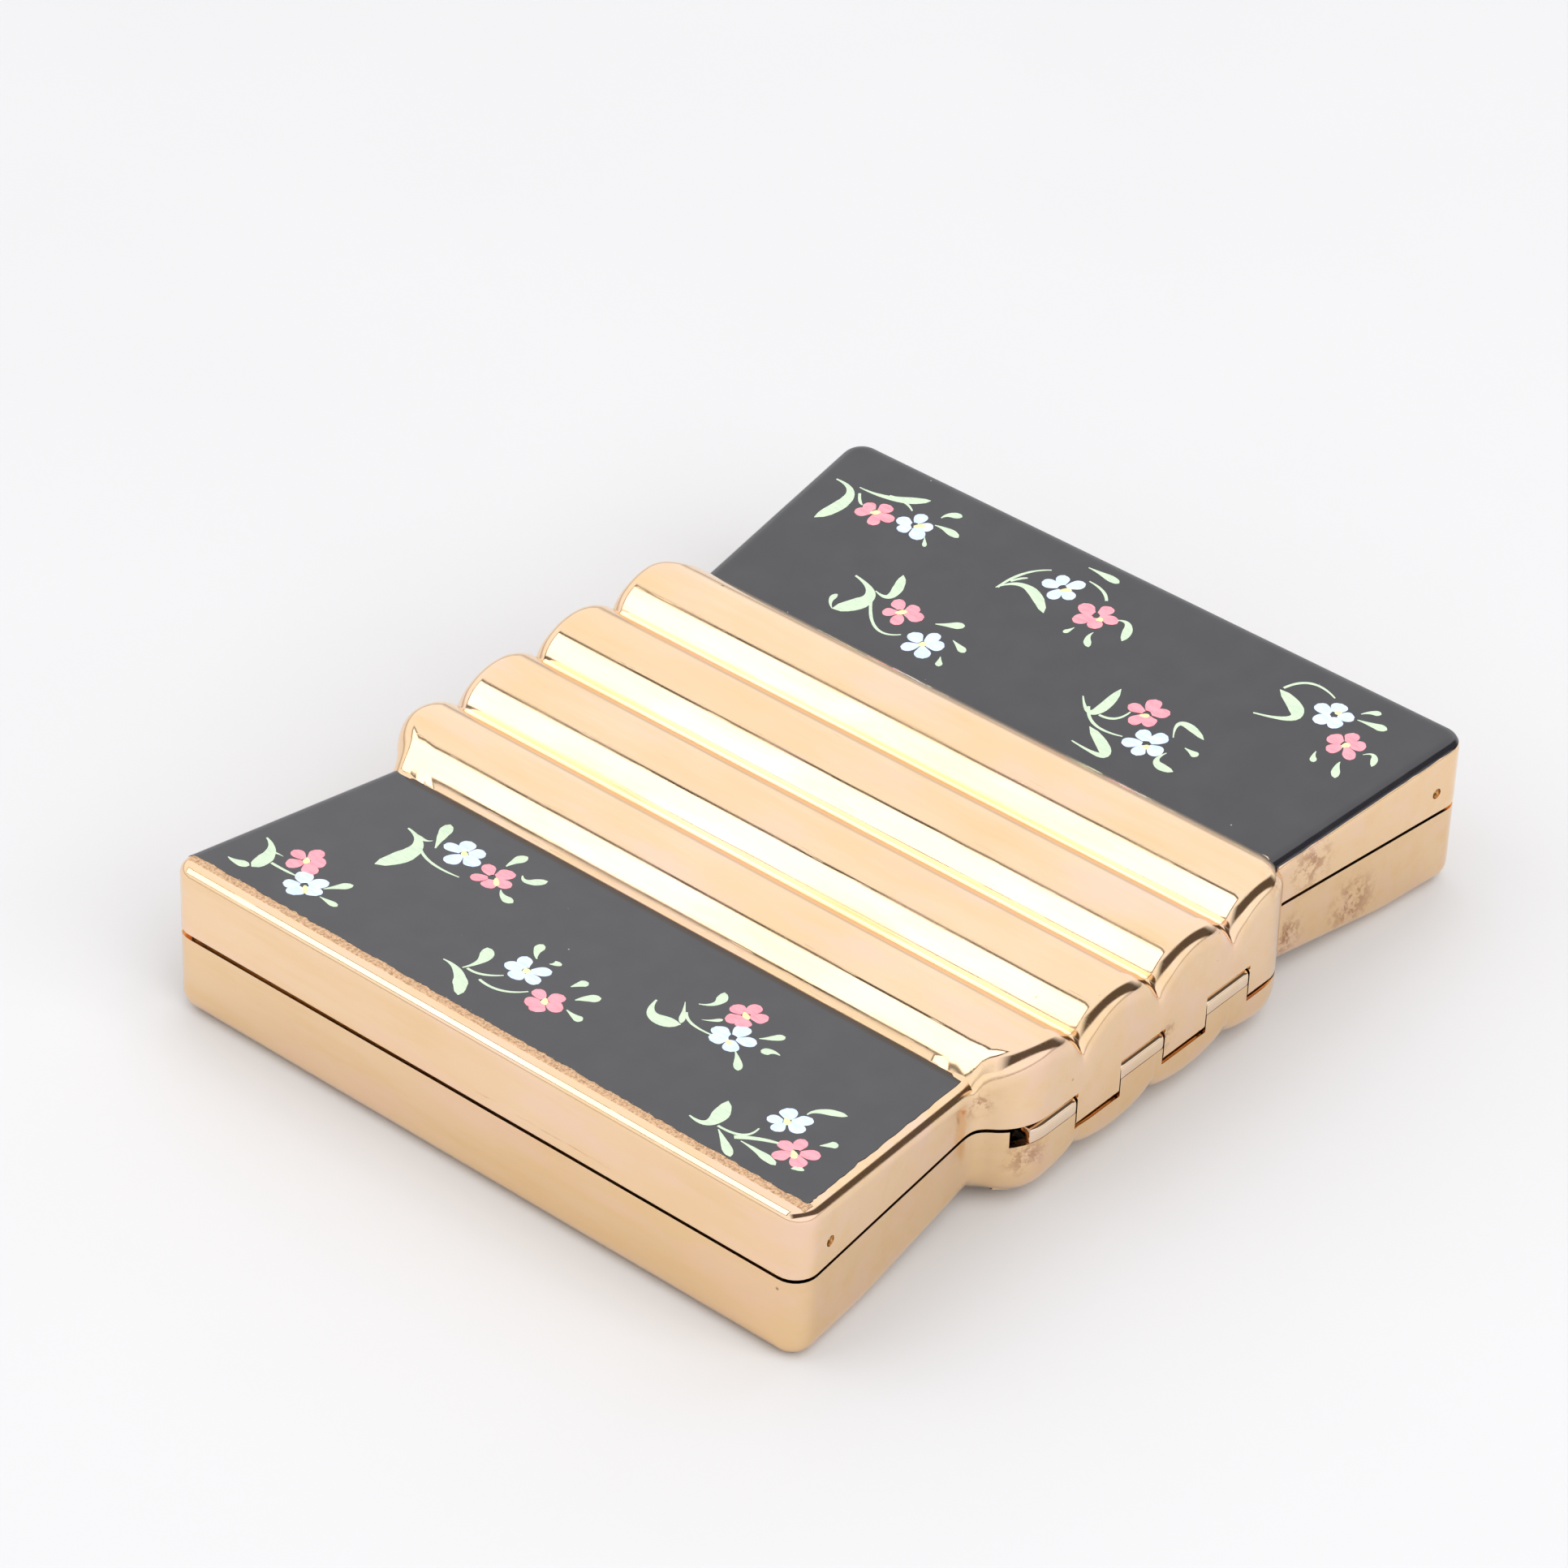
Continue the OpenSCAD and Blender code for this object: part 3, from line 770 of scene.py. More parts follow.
def make_base_shell():
    """Base: the lid's partner, pressed the other way, cut down where the hinge lies."""
    notches = [knuckle_span(number, -0.06) for number in (1, 3, 5)]
    ends = [x for span in notches for x in span] + list(OPENING[:2])
    grid = ShellGrid(base_height, 1.7, 2.4, [0, KNUCKLE_LEDGE, BASE_SEAM - OPENING[2]],
                     {"right": [x for x in ends if x > 0], "left": [-x for x in ends if x < 0]}, 0.12)
    removed = {(grid.rows[0][i], grid.rows[0][i + 1]) for i in grid.rear_between(*OPENING[:2])}
    for notch in notches:
        removed |= {(grid.rows[1][i], grid.rows[1][i + 1]) for i in grid.rear_between(*notch)}
    faces = [f for f in grid.faces if (f[0], f[1]) not in removed]
    for i in grid.rows[0]:
        grid.points[i][2] += 0.12 * rise(-grid.points[i][1], -20, 30)
    for point in grid.points:
        point[2] = BASE_SEAM - point[2]
    dent(grid.points)
    faces = [tuple(reversed(f)) for f in faces]
    shell = make_object("base_case", grid.points, faces, SHADED_BASE_GOLD)
    thicken(shell, SHEET)
    cut(shell, stadium("button_hole", -FRONT - 1, -FRONT + 2, 7.6, 2.4, SHADED_BASE_GOLD))
    mark_creases(shell)
    return shell


def stadium(name, y0, y1, width, height, material, z=4.7, ends=12):
    """A bar along Y with a stadium outline in X and Z, centred on the button's height."""
    half, r = width / 2 - height / 2, height / 2
    ring = [(half + r * math.cos(t), z + r * math.sin(t))
            for t in np.linspace(-math.pi / 2, math.pi / 2, ends)]
    ring += [(-half + r * math.cos(t), z + r * math.sin(t))
             for t in np.linspace(math.pi / 2, 3 * math.pi / 2, ends)]
    n = len(ring)
    points = [(x, y0, h) for x, h in ring] + [(x, y1, h) for x, h in ring]
    faces = [(i, n + i, n + (i + 1) % n, (i + 1) % n) for i in range(n)]
    faces += [tuple(range(n)), tuple(range(2 * n - 1, n - 1, -1))]
    return make_object(name, points, faces, material, smooth=False)


lid_case = make_lid_shell()
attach(lid_case, "lid")
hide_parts("lid_shell")

base_case = make_base_shell()
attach(base_case, "base")
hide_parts("base_shell")


def rear_wall(x):
    """Y of the band's rear wall, which turns in at its corners."""
    into_corner = max(0.0, abs(x) - HALF_BAND + BAND_CORNER)
    return REAR - BAND_CORNER + math.sqrt(BAND_CORNER ** 2 - into_corner ** 2) - 0.01


def make_hinge_leaf():
    """Soldered strip inside the base's end wall, with three curls flush with the wall."""
    low, high = node_box("base_hinge_leaf")
    leaf_top = OPENING[2] - 0.1
    strip = prism("strip", [(REAR - SHEET - 0.5, low[2]), (REAR - SHEET - 0.03, low[2]),
                            (REAR - SHEET - 0.03, leaf_top), (REAR - SHEET - 0.5, leaf_top)],
                  low[0] + 0.1, high[0] - 0.1, HINGE_GOLD)
    bevelled(strip, 0.08)
    face = REAR - 0.01
    corner = (face - CURL_CORNER, HINGE[1] + 0.65)
    ledge = BASE_SEAM - KNUCKLE_LEDGE + 0.02
    outline = [(REAR - SHEET - 0.02, ledge), (face, ledge)]
    outline += arc_points(corner, CURL_CORNER, 0, 80, 6)
    outline += arc_points(HINGE, KNUCKLE_R, 100, 215, 9)
    outline += arc_points(HINGE, PIN_HOLE_R, 215, 0, 16)
    knuckles = []
    for number in (0, 2, 4):
        x_from, x_to = knuckle_span(number)
        knuckle = prism("knuckle", outline, x_from, x_to, HINGE_GOLD, 12, rear_wall)
        knuckles.append(bevelled(knuckle, 0.05, 2, 60))
    return join([strip] + knuckles)


hinge_leaf = make_hinge_leaf()
hinge_leaf.name = "hinge_leaf_curls"
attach(hinge_leaf, "base")
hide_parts("base_hinge_leaf")


# ---------- enamel and its painted flowers ----------

ENAMEL_LIFT = 0.045   # how far the enamel stands above the gold
LID_EDGE_R = 1.0      # radius of the lid's edge round the wings


def inside_edge(x, y):
    """Distance of a place on a wing from the outline seen from above."""
    x, y = abs(x), abs(y)
    if x > CORNER_X and y > CORNER_Y:
        return WING_CORNER - math.hypot(x - CORNER_X, y - CORNER_Y)
    return min((edge_line(x) - y) * math.cos(FLARE), HALF_W - x)


def enamel_z(x, y):
    """Height of the enamel, which follows the wing's slope and its rounded edges."""
    inwards = min(inside_edge(x, y), LID_EDGE_R)
    radius = LID_EDGE_R + ENAMEL_LIFT
    across = min(LID_EDGE_R - inwards, radius)
    return wing_z(x) - LID_EDGE_R + math.sqrt(radius ** 2 - across ** 2)


def make_enamel(name, side, outer_x, rear_inset, front_inset, chip):
    """A sheet of enamel over one wing. The insets say how far its ends stop inside the outline."""
    rows, columns = 420, 34
    crowding = 0.048 / math.pi   # draws the rows a little closer together towards the ends
    inner_x = HALF_BAND + 0.08
    points = []
    for r in range(rows + 1):
        v = r / rows
        v -= crowding * math.sin(2 * math.pi * v)
        for c in range(columns + 1):
            u = math.sin(math.pi / 2 * c / columns)
            y_middle = edge_line(30) * (1 - 2 * v)
            ragged = 0.10 * wobble(side * 9, y_middle, 0, 0.5) + 0.13 * wobble(side * 5, y_middle, 3, 1.7)
            x = inner_x + (outer_x + ragged * chip - inner_x) * u
            flaked = chip * (0.16 * abs(wobble(x, side * 4, 5, 0.8)) + 0.10 * wobble(x, side * 7, 2, 0.3))
            rear_y = edge_line(x) - (rear_inset + flaked) / math.cos(FLARE)
            front_y = edge_line(x) - (front_inset + 0.4 * abs(flaked)) / math.cos(FLARE)
            if x > CORNER_X:
                rounding = math.sqrt(max(0.0, WING_CORNER ** 2 - (x - CORNER_X) ** 2))
                rear_y = min(rear_y, CORNER_Y + rounding - rear_inset)
                front_y = min(front_y, CORNER_Y + rounding - front_inset)
            y = rear_y - (rear_y + front_y) * v
            points.append((side * x, y, enamel_z(x, y) + 0.006 * wobble(side * x, y, 1, 6)))
    panel = make_object(name, points, grid_faces(rows, columns, flip=side < 0), ENAMEL)
    thicken(panel, 0.12)
    mark_creases(panel, 50)
    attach(panel, "lid")
    return panel


near_enamel = make_enamel("right_wing_enamel", 1, outer_x=36.15, rear_inset=0.95, front_inset=0.12, chip=1.0)
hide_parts("enamel_panel_right")
far_enamel = make_enamel("left_wing_enamel", -1, outer_x=37.75, rear_inset=0.10, front_inset=0.12, chip=0.2)
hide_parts("enamel_panel_left")


def make_bare_strip():
    """Etched metal that the enamel left bare along the right wing's long edge."""
    rows, columns = 620, 12
    x_from, x_to = 35.9, 36.95
    points = []
    for r in range(rows + 1):
        y_share = 1 - 2 * r / rows
        for c in range(columns + 1):
            x = x_from + (x_to - x_from) * c / columns
            y = y_share * min(edge_line(x) - 0.35, CORNER_Y + 1.15)
            grain = 0.020 * wobble(x, y, 0, 0.13) + 0.018 * wobble(x, y, 6, 0.33)
            ends = min(c, columns - c, 1.0)
            points.append((x, y, enamel_z(x, y) - 0.028 + (0.012 + grain) * ends - 0.05 * (1 - ends)))
    strip = make_object("bare_edge_strip", points, grid_faces(rows, columns), ETCHED_GOLD)
    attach(strip, "lid")


make_bare_strip()


class Paint:
    """Brush strokes of one colour on one wing, gathered into one mesh."""

    def __init__(self, name, side, material, lift):
        self.name, self.side, self.material, self.lift = name, side, material, lift
        self.points, self.faces = [], []

    def stroke(self, start, middle, end, width, shape, steps=16, across=6):
        """A domed stroke along a curve through three places, with its width shaped along it."""
        a, b, c = (np.array(p, float) for p in (start, middle, end))
        length = np.linalg.norm(b - a) + np.linalg.norm(c - b)
        first = len(self.points)
        for i in range(steps + 1):
            t = i / steps
            at = a * (1 - t) * (1 - 2 * t) + b * 4 * t * (1 - t) + c * t * (2 * t - 1)
            along = a * (4 * t - 3) + b * (4 - 8 * t) + c * (4 * t - 1)
            along /= np.linalg.norm(along) + 1e-9
            normal = np.array([-along[1], along[0]])
            uneven = 1 + 0.13 * wobble(at[0], at[1], length, 0.7, width)
            half = max(shape(t) * width / 2 * uneven, 0.02)
            for j in range(across + 1):
                s = 2 * j / across - 1
                x, y = at + normal * half * s
                dome = self.lift * (1 - s ** 4) * min(1, half / 0.15)
                self.points.append((self.side * x, y, enamel_z(x, y) + 0.004 + dome))
        row = across + 1
        for i in range(steps):
            for j in range(across):
                k = first + i * row + j
                quad = (k, k + 1, k + row + 1, k + row)
                self.faces.append(quad if self.side < 0 else tuple(reversed(quad)))

    def finish(self):
        paint = make_object(self.name, self.points, self.faces, self.material)
        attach(paint, "lid")


def leaf_shape(t):
    """A pulled stroke: a thin tail that swells to a round end."""
    if t < 0.72:
        return 0.12 + 0.88 * (t / 0.72) ** 1.25
    return math.sqrt(max(0, 1 - ((t - 0.72) / 0.28) ** 2))


def stem_shape(t):
    return 0.75 + 0.25 * math.sin(math.pi * t) - 0.35 * t


def petal_shape(t):
    """A dab of the brush, fuller at its outer end."""
    if t < 0.6:
        return 0.35 + 0.65 * math.sin(math.pi / 2 * t / 0.6)
    return math.sqrt(max(0, 1 - ((t - 0.6) / 0.4) ** 2))


def flower(petals, eyes, centre, eye, dice):
    """Five dabs of petal round a yellow dab."""
    turn = dice.uniform(0, 72)
    for number in range(5):
        angle = math.radians(turn + 72 * number + dice.uniform(-9, 9))
        out = np.array([math.cos(angle), math.sin(angle)])
        reach = dice.uniform(1.4, 1.85)
        bend = np.array([-out[1], out[0]]) * dice.uniform(-0.15, 0.15)
        root = np.array(centre) + out * 0.30
        tip = np.array(centre) + out * reach
        petals.stroke(root, (root + tip) / 2 + bend, tip, dice.uniform(1.0, 1.3), petal_shape, 12)
    lean = np.array([dice.uniform(-0.1, 0.1), dice.uniform(-0.1, 0.1)])
    eyes.stroke(np.array(eye) - 0.28 + lean, eye, np.array(eye) + 0.28 - lean, 0.55, petal_shape, 8)


# The sprays, read against a millimetre grid, with X as the distance from the case's middle.
# A stroke is its thin end, middle and fat end, then its width. A flower is its middle, then its eye.
RIGHT_SPRAYS = [
    {
        "leaves": [(30.8, -26.7, 32, -25.2, 34.3, -24.8, 1.6),
                   (31.7, -24.2, 31.8, -25, 32.2, -25.5, 0.4), (34.6, -26.8, 34.6, -26, 34.3, -25, 1),
                   (32.6, -19.4, 31.7, -18.9, 30.7, -18.3, 0.9),
                   (33.5, -18.9, 33.5, -18.1, 33.5, -17.2, 0.7)],
        "stems": [(32.9, -24.2, 32.9, -23, 32.8, -21.8, 0.3)],
        "pink": ((30.9, -22.7), (30.9, -22.7)),
        "blue": ((33.3, -20.6), (33.6, -20.2)),
    },
    {
        "leaves": [(22.9, -17.7, 21.5, -18.4, 19.8, -19.1, 1.2),
                   (22.4, -20.8, 24, -18.6, 27.6, -19.2, 2.3), (22.3, -18.5, 22.7, -19, 22.6, -20, 0.5),
                   (20.9, -12.7, 20, -12.7, 18.8, -12.5, 1), (20.9, -11.1, 21.2, -10.3, 20.1, -9.4, 1),
                   (23.4, -10.9, 23.9, -10.2, 24, -9.2, 0.9)],
        "stems": [(23.7, -18.4, 24.5, -16.5, 24.4, -14, 0.3)],
        "pink": ((22.7, -12.4), (22.9, -11.8)),
        "blue": ((21.9, -15.8), (21.9, -15.8)),
    },
    {
        "leaves": [(32.6, -6.1, 30.8, -5.8, 29.5, -6.6, 1.3), (32.8, -7.7, 33.3, -5.8, 35.3, -4, 1.3),
                   (28, -3.3, 27.3, -3.9, 26.3, -4.2, 0.9), (27.8, -2.3, 27.5, -2, 27.1, -1.9, 0.8),
                   (28.8, 0.6, 28.2, 0.8, 27.5, 1.1, 1), (29.8, 1.9, 29.1, 2.3, 28.3, 3, 1.2),
                   (31.1, 2.3, 31.3, 3.2, 31.3, 3.9, 0.9)],
        "stems": [(32.4, -5.8, 32.2, -4.6, 31.2, -3.5, 0.3), (32.8, -4.3, 32.7, -2.4, 31.4, -1, 0.3)],
        "pink": ((31.5, 0.6), (31.5, 0.6)),
        "blue": ((29.6, -2.8), (29.6, -2.8)),
    },
    {
        "leaves": [(23.8, 8, 22.8, 8.8, 21.4, 8.3, 0.9), (25.6, 5.7, 27.2, 6.8, 26.6, 8.8, 1.7),
                   (24.3, 7.2, 25.4, 8, 26.5, 8.7, 0.5), (25.1, 9.4, 24.6, 10, 24, 10.4, 0.4),
                   (23.9, 13.6, 23.2, 14.2, 22.4, 14.7, 0.9), (24.4, 15.9, 24.5, 15.2, 25.1, 14.8, 1),
                   (26.3, 13.5, 27, 14.3, 27.9, 15.1, 0.8)],
        "stems": [(25.2, 8.1, 26, 9.4, 25.9, 11.5, 0.3)],
        "pink": ((22.5, 11.2), (22.5, 11.2)),
        "blue": ((25.2, 12.3), (25.8, 12.5)),
    },
    {
        "leaves": [(34.3, 16.3, 33.8, 17.8, 31.1, 17, 1.5), (34, 20.6, 34.1, 22.3, 34.4, 24, 0.9),
                   (34.1, 18.7, 34.9, 19.9, 35.9, 21.3, 0.9), (28.4, 21.7, 27.4, 22.1, 26.5, 23.7, 0.9),
                   (30.5, 24.6, 30, 25, 29.5, 25.4, 0.9), (33, 24.8, 33.5, 25.2, 33.8, 25.4, 1.2)],
        "stems": [(33.8, 18.4, 33.4, 20.2, 32, 20.5, 0.3), (34, 20, 33, 21.2, 32.3, 22.6, 0.5)],
        "pink": ((32.3, 24), (32.6, 24.1)),
        "blue": ((30, 21.3), (30, 21.3)),
    },
]
LEFT_SPRAYS = [
    {
        "leaves": [(24.2, -18, 22.8, -15.5, 20, -16.8, 2), (20, -16.8, 20.7, -17.5, 21.6, -17.6, 0.6),
                   (23.7, -15.6, 24, -14.3, 26.5, -15.2, 1.1), (20.6, -6.7, 20.1, -6.4, 19.6, -6.1, 0.6),
                   (22.7, -7.2, 22.4, -6.4, 22.1, -5.6, 0.8), (23.4, -9.5, 24, -8.5, 24.6, -7.6, 1)],
        "stems": [(23, -15.4, 20.3, -12.8, 20.8, -10.7, 0.3)],
        "pink": ((22.9, -12.4), (22.9, -12.4)),
        "blue": ((20.9, -8.7), (20.9, -8.7)),
    },
    {
        "leaves": [(32.6, -27, 31.5, -24.8, 27.8, -25.2, 1.6), (32.9, -24.9, 33.4, -22, 35, -19.5, 1),
                   (31.2, -17, 30.7, -16.6, 30.2, -16.2, 0.4),
                   (32.8, -17.3, 32.9, -16.2, 32.7, -14.9, 0.9),
                   (33.8, -17.5, 34.5, -17.2, 34.9, -16.3, 0.9)],
        "stems": [(33.5, -22.4, 33.6, -21, 33.1, -19.8, 0.3),
                  (32.3, -24.4, 31.6, -23.8, 31.3, -23.3, 0.3)],
        "pink": ((31.2, -21.9), (31.2, -21.9)),
        "blue": ((31.8, -18.5), (32, -18.1)),
    },
    {
        "leaves": [(29.7, -8.8, 31.2, -7, 29.5, -4, 1.1), (29.6, -1.1, 29.1, -1.2, 28.6, -1.4, 0.5),
                   (30, 0.4, 29.2, 0.5, 28.4, 1.2, 0.7), (32.2, 0.8, 32.3, 1.9, 30.5, 2.7, 0.9),
                   (36, -4.8, 36, -3.3, 35.9, -1.8, 0.9)],
        "stems": [(29.8, -8.7, 32.3, -8.2, 34, -6.8, 0.3), (31, -8.4, 31.7, -8, 32.1, -7.6, 0.3),
                  (33.6, -1.2, 34.4, -2.2, 34.7, -3.7, 0.3)],
        "pink": ((31.7, -0.7), (31.5, -0.2)),
        "blue": ((32.8, -4.8), (32.7, -4.4)),
    },
    {
        "leaves": [(19, 7.1, 19.2, 10, 21.1, 7.1, 1.3), (23.6, 4.5, 22.6, 6.3, 26, 6.2, 1.1),
                   (22.2, 13.4, 20.9, 13.5, 20.8, 15.1, 1), (23.5, 14.1, 23.4, 14.8, 23.3, 15.4, 0.8),
                   (23.9, 12.7, 25.6, 12.2, 25.1, 14.6, 0.8)],
        "stems": [(22.9, 5.6, 21.5, 7.3, 21.7, 9.7, 0.3), (22.6, 6.8, 23, 8, 24.3, 8.4, 0.3)],
        "pink": ((24.9, 9.5), (24.6, 9.5)),
        "blue": ((22.1, 11.6), (21.8, 11.8)),
    },
    {
        "leaves": [(29.9, 15.5, 31.5, 18.2, 33.3, 15.4, 1.5), (29.2, 21.8, 28.6, 22, 28.1, 22.4, 0.6),
                   (29.3, 23.9, 28.6, 24.1, 27.6, 24.7, 0.8), (31, 24.7, 31.4, 25.4, 30.3, 26, 0.6),
                   (34, 22, 34.2, 23.2, 34.4, 24.4, 0.9), (34.7, 21.8, 35.3, 22.3, 35.6, 23, 0.7)],
        "stems": [(33.6, 15.5, 35.3, 16.8, 35, 19.2, 0.3)],
        "pink": ((31.1, 23), (31.1, 23.1)),
        "blue": ((33.4, 20.3), (33.8, 20.4)),
    },
]


def paint_wing(word, side, sprays, seed):
    dice = random.Random(seed)
    green = Paint(word + "_leaf_strokes", side, LEAF_PAINT, 0.020)
    pink = Paint(word + "_pink_petals", side, PINK_PAINT, 0.026)
    blue = Paint(word + "_blue_petals", side, BLUE_PAINT, 0.026)
    yellow = Paint(word + "_flower_eyes", side, YELLOW_PAINT, 0.042)
    for spray in sprays:
        for *places, width in spray["stems"]:
            green.stroke(places[:2], places[2:4], places[4:], width, stem_shape)
        for *places, width in spray["leaves"]:
            slim = width * (0.95 - 0.12 * width)
            green.stroke(places[:2], places[2:4], places[4:], slim, leaf_shape)
        flower(pink, yellow, *spray["pink"], dice)
        flower(blue, yellow, *spray["blue"], dice)
    for paint in (green, pink, blue, yellow):
        paint.finish()


paint_wing("right_wing", 1, RIGHT_SPRAYS, 5)
paint_wing("left_wing", -1, LEFT_SPRAYS, 8)


# ---------- inside and catch ----------


def rounded_rectangle(x_range, y_range, radius, corner_steps=12, side_steps=16):
    """Outline of a rounded rectangle, anticlockwise, with points along its sides too."""
    (x0, x1), (y0, y1) = x_range, y_range
    centres = [(x1 - radius, y0 + radius, -90), (x1 - radius, y1 - radius, 0),
               (x0 + radius, y1 - radius, 90), (x0 + radius, y0 + radius, 180)]
    ring = []
    for x, y, start in centres:
        for angle in np.radians(np.linspace(start, start + 90, corner_steps + 1)):
            ring.append(np.array([x + radius * math.cos(angle), y + radius * math.sin(angle)]))
    full = []
    for here, after in zip(ring, ring[1:] + ring[:1]):
        gap = np.linalg.norm(after - here)
        pieces = side_steps if gap > radius else 1
        full += [here + (after - here) * k / pieces for k in range(pieces)]
    return np.array(full)


def cushion_mesh(name, outline, rings, top, bottom, material):
    """A closed form of rings that shrink to the middle. Top and bottom give z from (x, y, share)."""
    middle = outline.mean(0)
    n = len(outline)
    points, faces = [], []
    shares = [math.sin(math.pi / 2 * k / rings) for k in range(rings, 0, -1)]
    for surface in (top, bottom):
        for share in shares:
            for at in outline:
                x, y = middle + (at - middle) * share
                points.append((x, y, surface(x, y, share)))
        points.append((*middle, surface(*middle, 0.0)))
    below = rings * n + 1
    for base, flip in ((0, False), (below, True)):
        for r in range(rings):
            for i in range(n):
                j = (i + 1) % n
                a, b = base + r * n + i, base + r * n + j
                if r < rings - 1:
                    face = (a, b, b + n, a + n)
                else:
                    face = (a, b, base + rings * n)
                faces.append(tuple(reversed(face)) if flip else face)
    faces += [(below + i, below + (i + 1) % n, (i + 1) % n, i) for i in range(n)]
    return make_object(name, points, faces, material)


def make_powder():
    """Pressed powder with a raised fan of rays inside a border, and a slightly broken edge."""
    low, high = node_box("powder_cake")
    outline = rounded_rectangle((low[0], high[0]), (low[1], high[1]), 2.2)
    middle = outline.mean(0)

    def top(x, y, share):
        out = math.hypot(x - middle[0], y - low[1] - 3)
        turn = math.atan2(y - low[1] - 3, x - middle[0])
        border = rise(share, 0.80, 0.84) * (1 - rise(share, 0.90, 0.94))
        rays = (1 - rise(share, 0.72, 0.78)) * (0.5 + 0.5 * math.cos(turn * 14)) * rise(out, 2, 6)
        edge = 0.45 * rise(share, 0.965, 1.0)
        grain = 0.03 * wobble(x, y, 0, 0.8) + 0.05 * wobble(x, y, 4, 4)
        return high[2] - 0.58 + 0.32 * rays + 0.28 * border - edge + grain

    cake = cushion_mesh("pressed_powder_cake", outline, 44, top, lambda x, y, s: low[2] + 0.02,
                        pressed_powder())
    mark_creases(cake, 60)
    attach(cake, "base")
    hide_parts("powder_cake")


def make_puff():
    """Velour puff: crowned, pulled in at its piped seam and flat where it lies on the door."""
    low, high = node_box("puff_pad")
    outline = rounded_rectangle((low[0] + 0.5, high[0] - 0.5), (low[1] + 0.5, high[1] - 0.5), 7.6)
    seam = low[2] + 0.95
    crown = high[2] - seam - 0.05

    def top(x, y, share):
        under_ribbon = 0.10 * (1 - rise(abs(y - 0.5), 4.6, 6.5))
        dimples = 0.09 * wobble(x, y, 0, 5) + 0.04 * wobble(x, y, 2, 1.6)
        swell = (1 - share ** 5) ** 0.5
        return seam + swell * (crown - 0.12 - under_ribbon + dimples * (1 - share))

    def bottom(x, y, share):
        return seam - (seam - low[2] - 0.02) * (1 - share ** 8) ** 0.5

    pad = cushion_mesh("velour_puff", outline, 26, top, bottom, velour())
    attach(pad, "powder_door")
    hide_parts("puff_pad")
    piping = make_piping("puff_piping", outline, seam, 0.42, velour())
    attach(piping, "powder_door")
    return pad


def make_piping(name, outline, z, radius, material, sides=10):
    """A round edge along a closed outline, gathered a little by its stitches."""
    n = len(outline)
    along = np.roll(outline, -1, 0) - np.roll(outline, 1, 0)
    along /= np.linalg.norm(along, axis=1)[:, None]
    outward = np.stack([along[:, 1], -along[:, 0]], 1)
    walked = np.cumsum(np.linalg.norm(np.roll(outline, -1, 0) - outline, axis=1))
    points = []
    for i in range(n):
        r = radius * (1 + 0.10 * math.sin(walked[i] * 2 * math.pi / 1.7))
        for k in range(sides):
            turn = 2 * math.pi * k / sides
            at = outline[i] + outward[i] * r * math.cos(turn)
            points.append((*at, z + r * math.sin(turn)))
    faces = []
    for i in range(n):
        j = (i + 1) % n
        for k in range(sides):
            m = (k + 1) % sides
            faces.append((i * sides + k, j * sides + k, j * sides + m, i * sides + m))
    return make_object(name, points, faces, material)


def make_ribbon():
    """Satin ribbon stretched across the puff, with rolled selvedges and hems at its ends."""
    low, high = node_box("puff_ribbon")
    width = high[1] - low[1]
    length = high[0] - low[0]
    columns, rows = 90, 20
    points = []
    for c in range(columns + 1):
        for r in range(rows + 1):
            u, v = c / columns, r / rows
            x = low[0] + length * u
            y = low[1] + width * v
            hem = 0.06 * (1 - rise(min(x - low[0], high[0] - x), 0.9, 1.2))
            selvedge = 0.03 * (1 - rise(min(v, 1 - v), 0.03, 0.07))
            ripple = 0.02 * wobble(x, y, 0, 3.0) + 0.015 * math.sin(v * math.pi * 6) * wobble(x, 0, 1, 6)
            points.append((x, y, low[2] + 0.12 + hem + selvedge + ripple))
    ribbon = make_object("satin_ribbon", points, grid_faces(columns, rows), satin())
    thicken(ribbon, 0.08)
    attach(ribbon, "powder_door")
    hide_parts("puff_ribbon")


def make_button():
    """Push button with a rounded face."""
    low, high = node_box("push_button")
    height, width = high[2] - low[2], high[0] - low[0]
    button = stadium("button_cap", low[1], high[1], width, height, GOLD, (low[2] + high[2]) / 2, 16)
    bevelled(button, 0.32, 4)
    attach(button, "catch")
    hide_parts("push_button")


make_powder()
make_puff()
make_ribbon()
make_button()


def dress(material, *names):
    """Gives CAD nodes their material."""
    for name in names:
        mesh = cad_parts[name].data
        mesh.materials.clear()
        mesh.materials.append(material)
        mark_creases(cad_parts[name], 32)


dress(SATIN_GOLD, "inner_frame", "powder_pan", "powder_door", "mirror_frame", "door_catch", "lid_keeper",
      "catch_plate")
dress(STEEL, "hinge_pin", "door_hinge_pin")
dress(SPRING, "catch_spring")
dress(mirror_glass(), "mirror_glass")
dress(card(), "mirror_backing")


# ---------- studio ----------


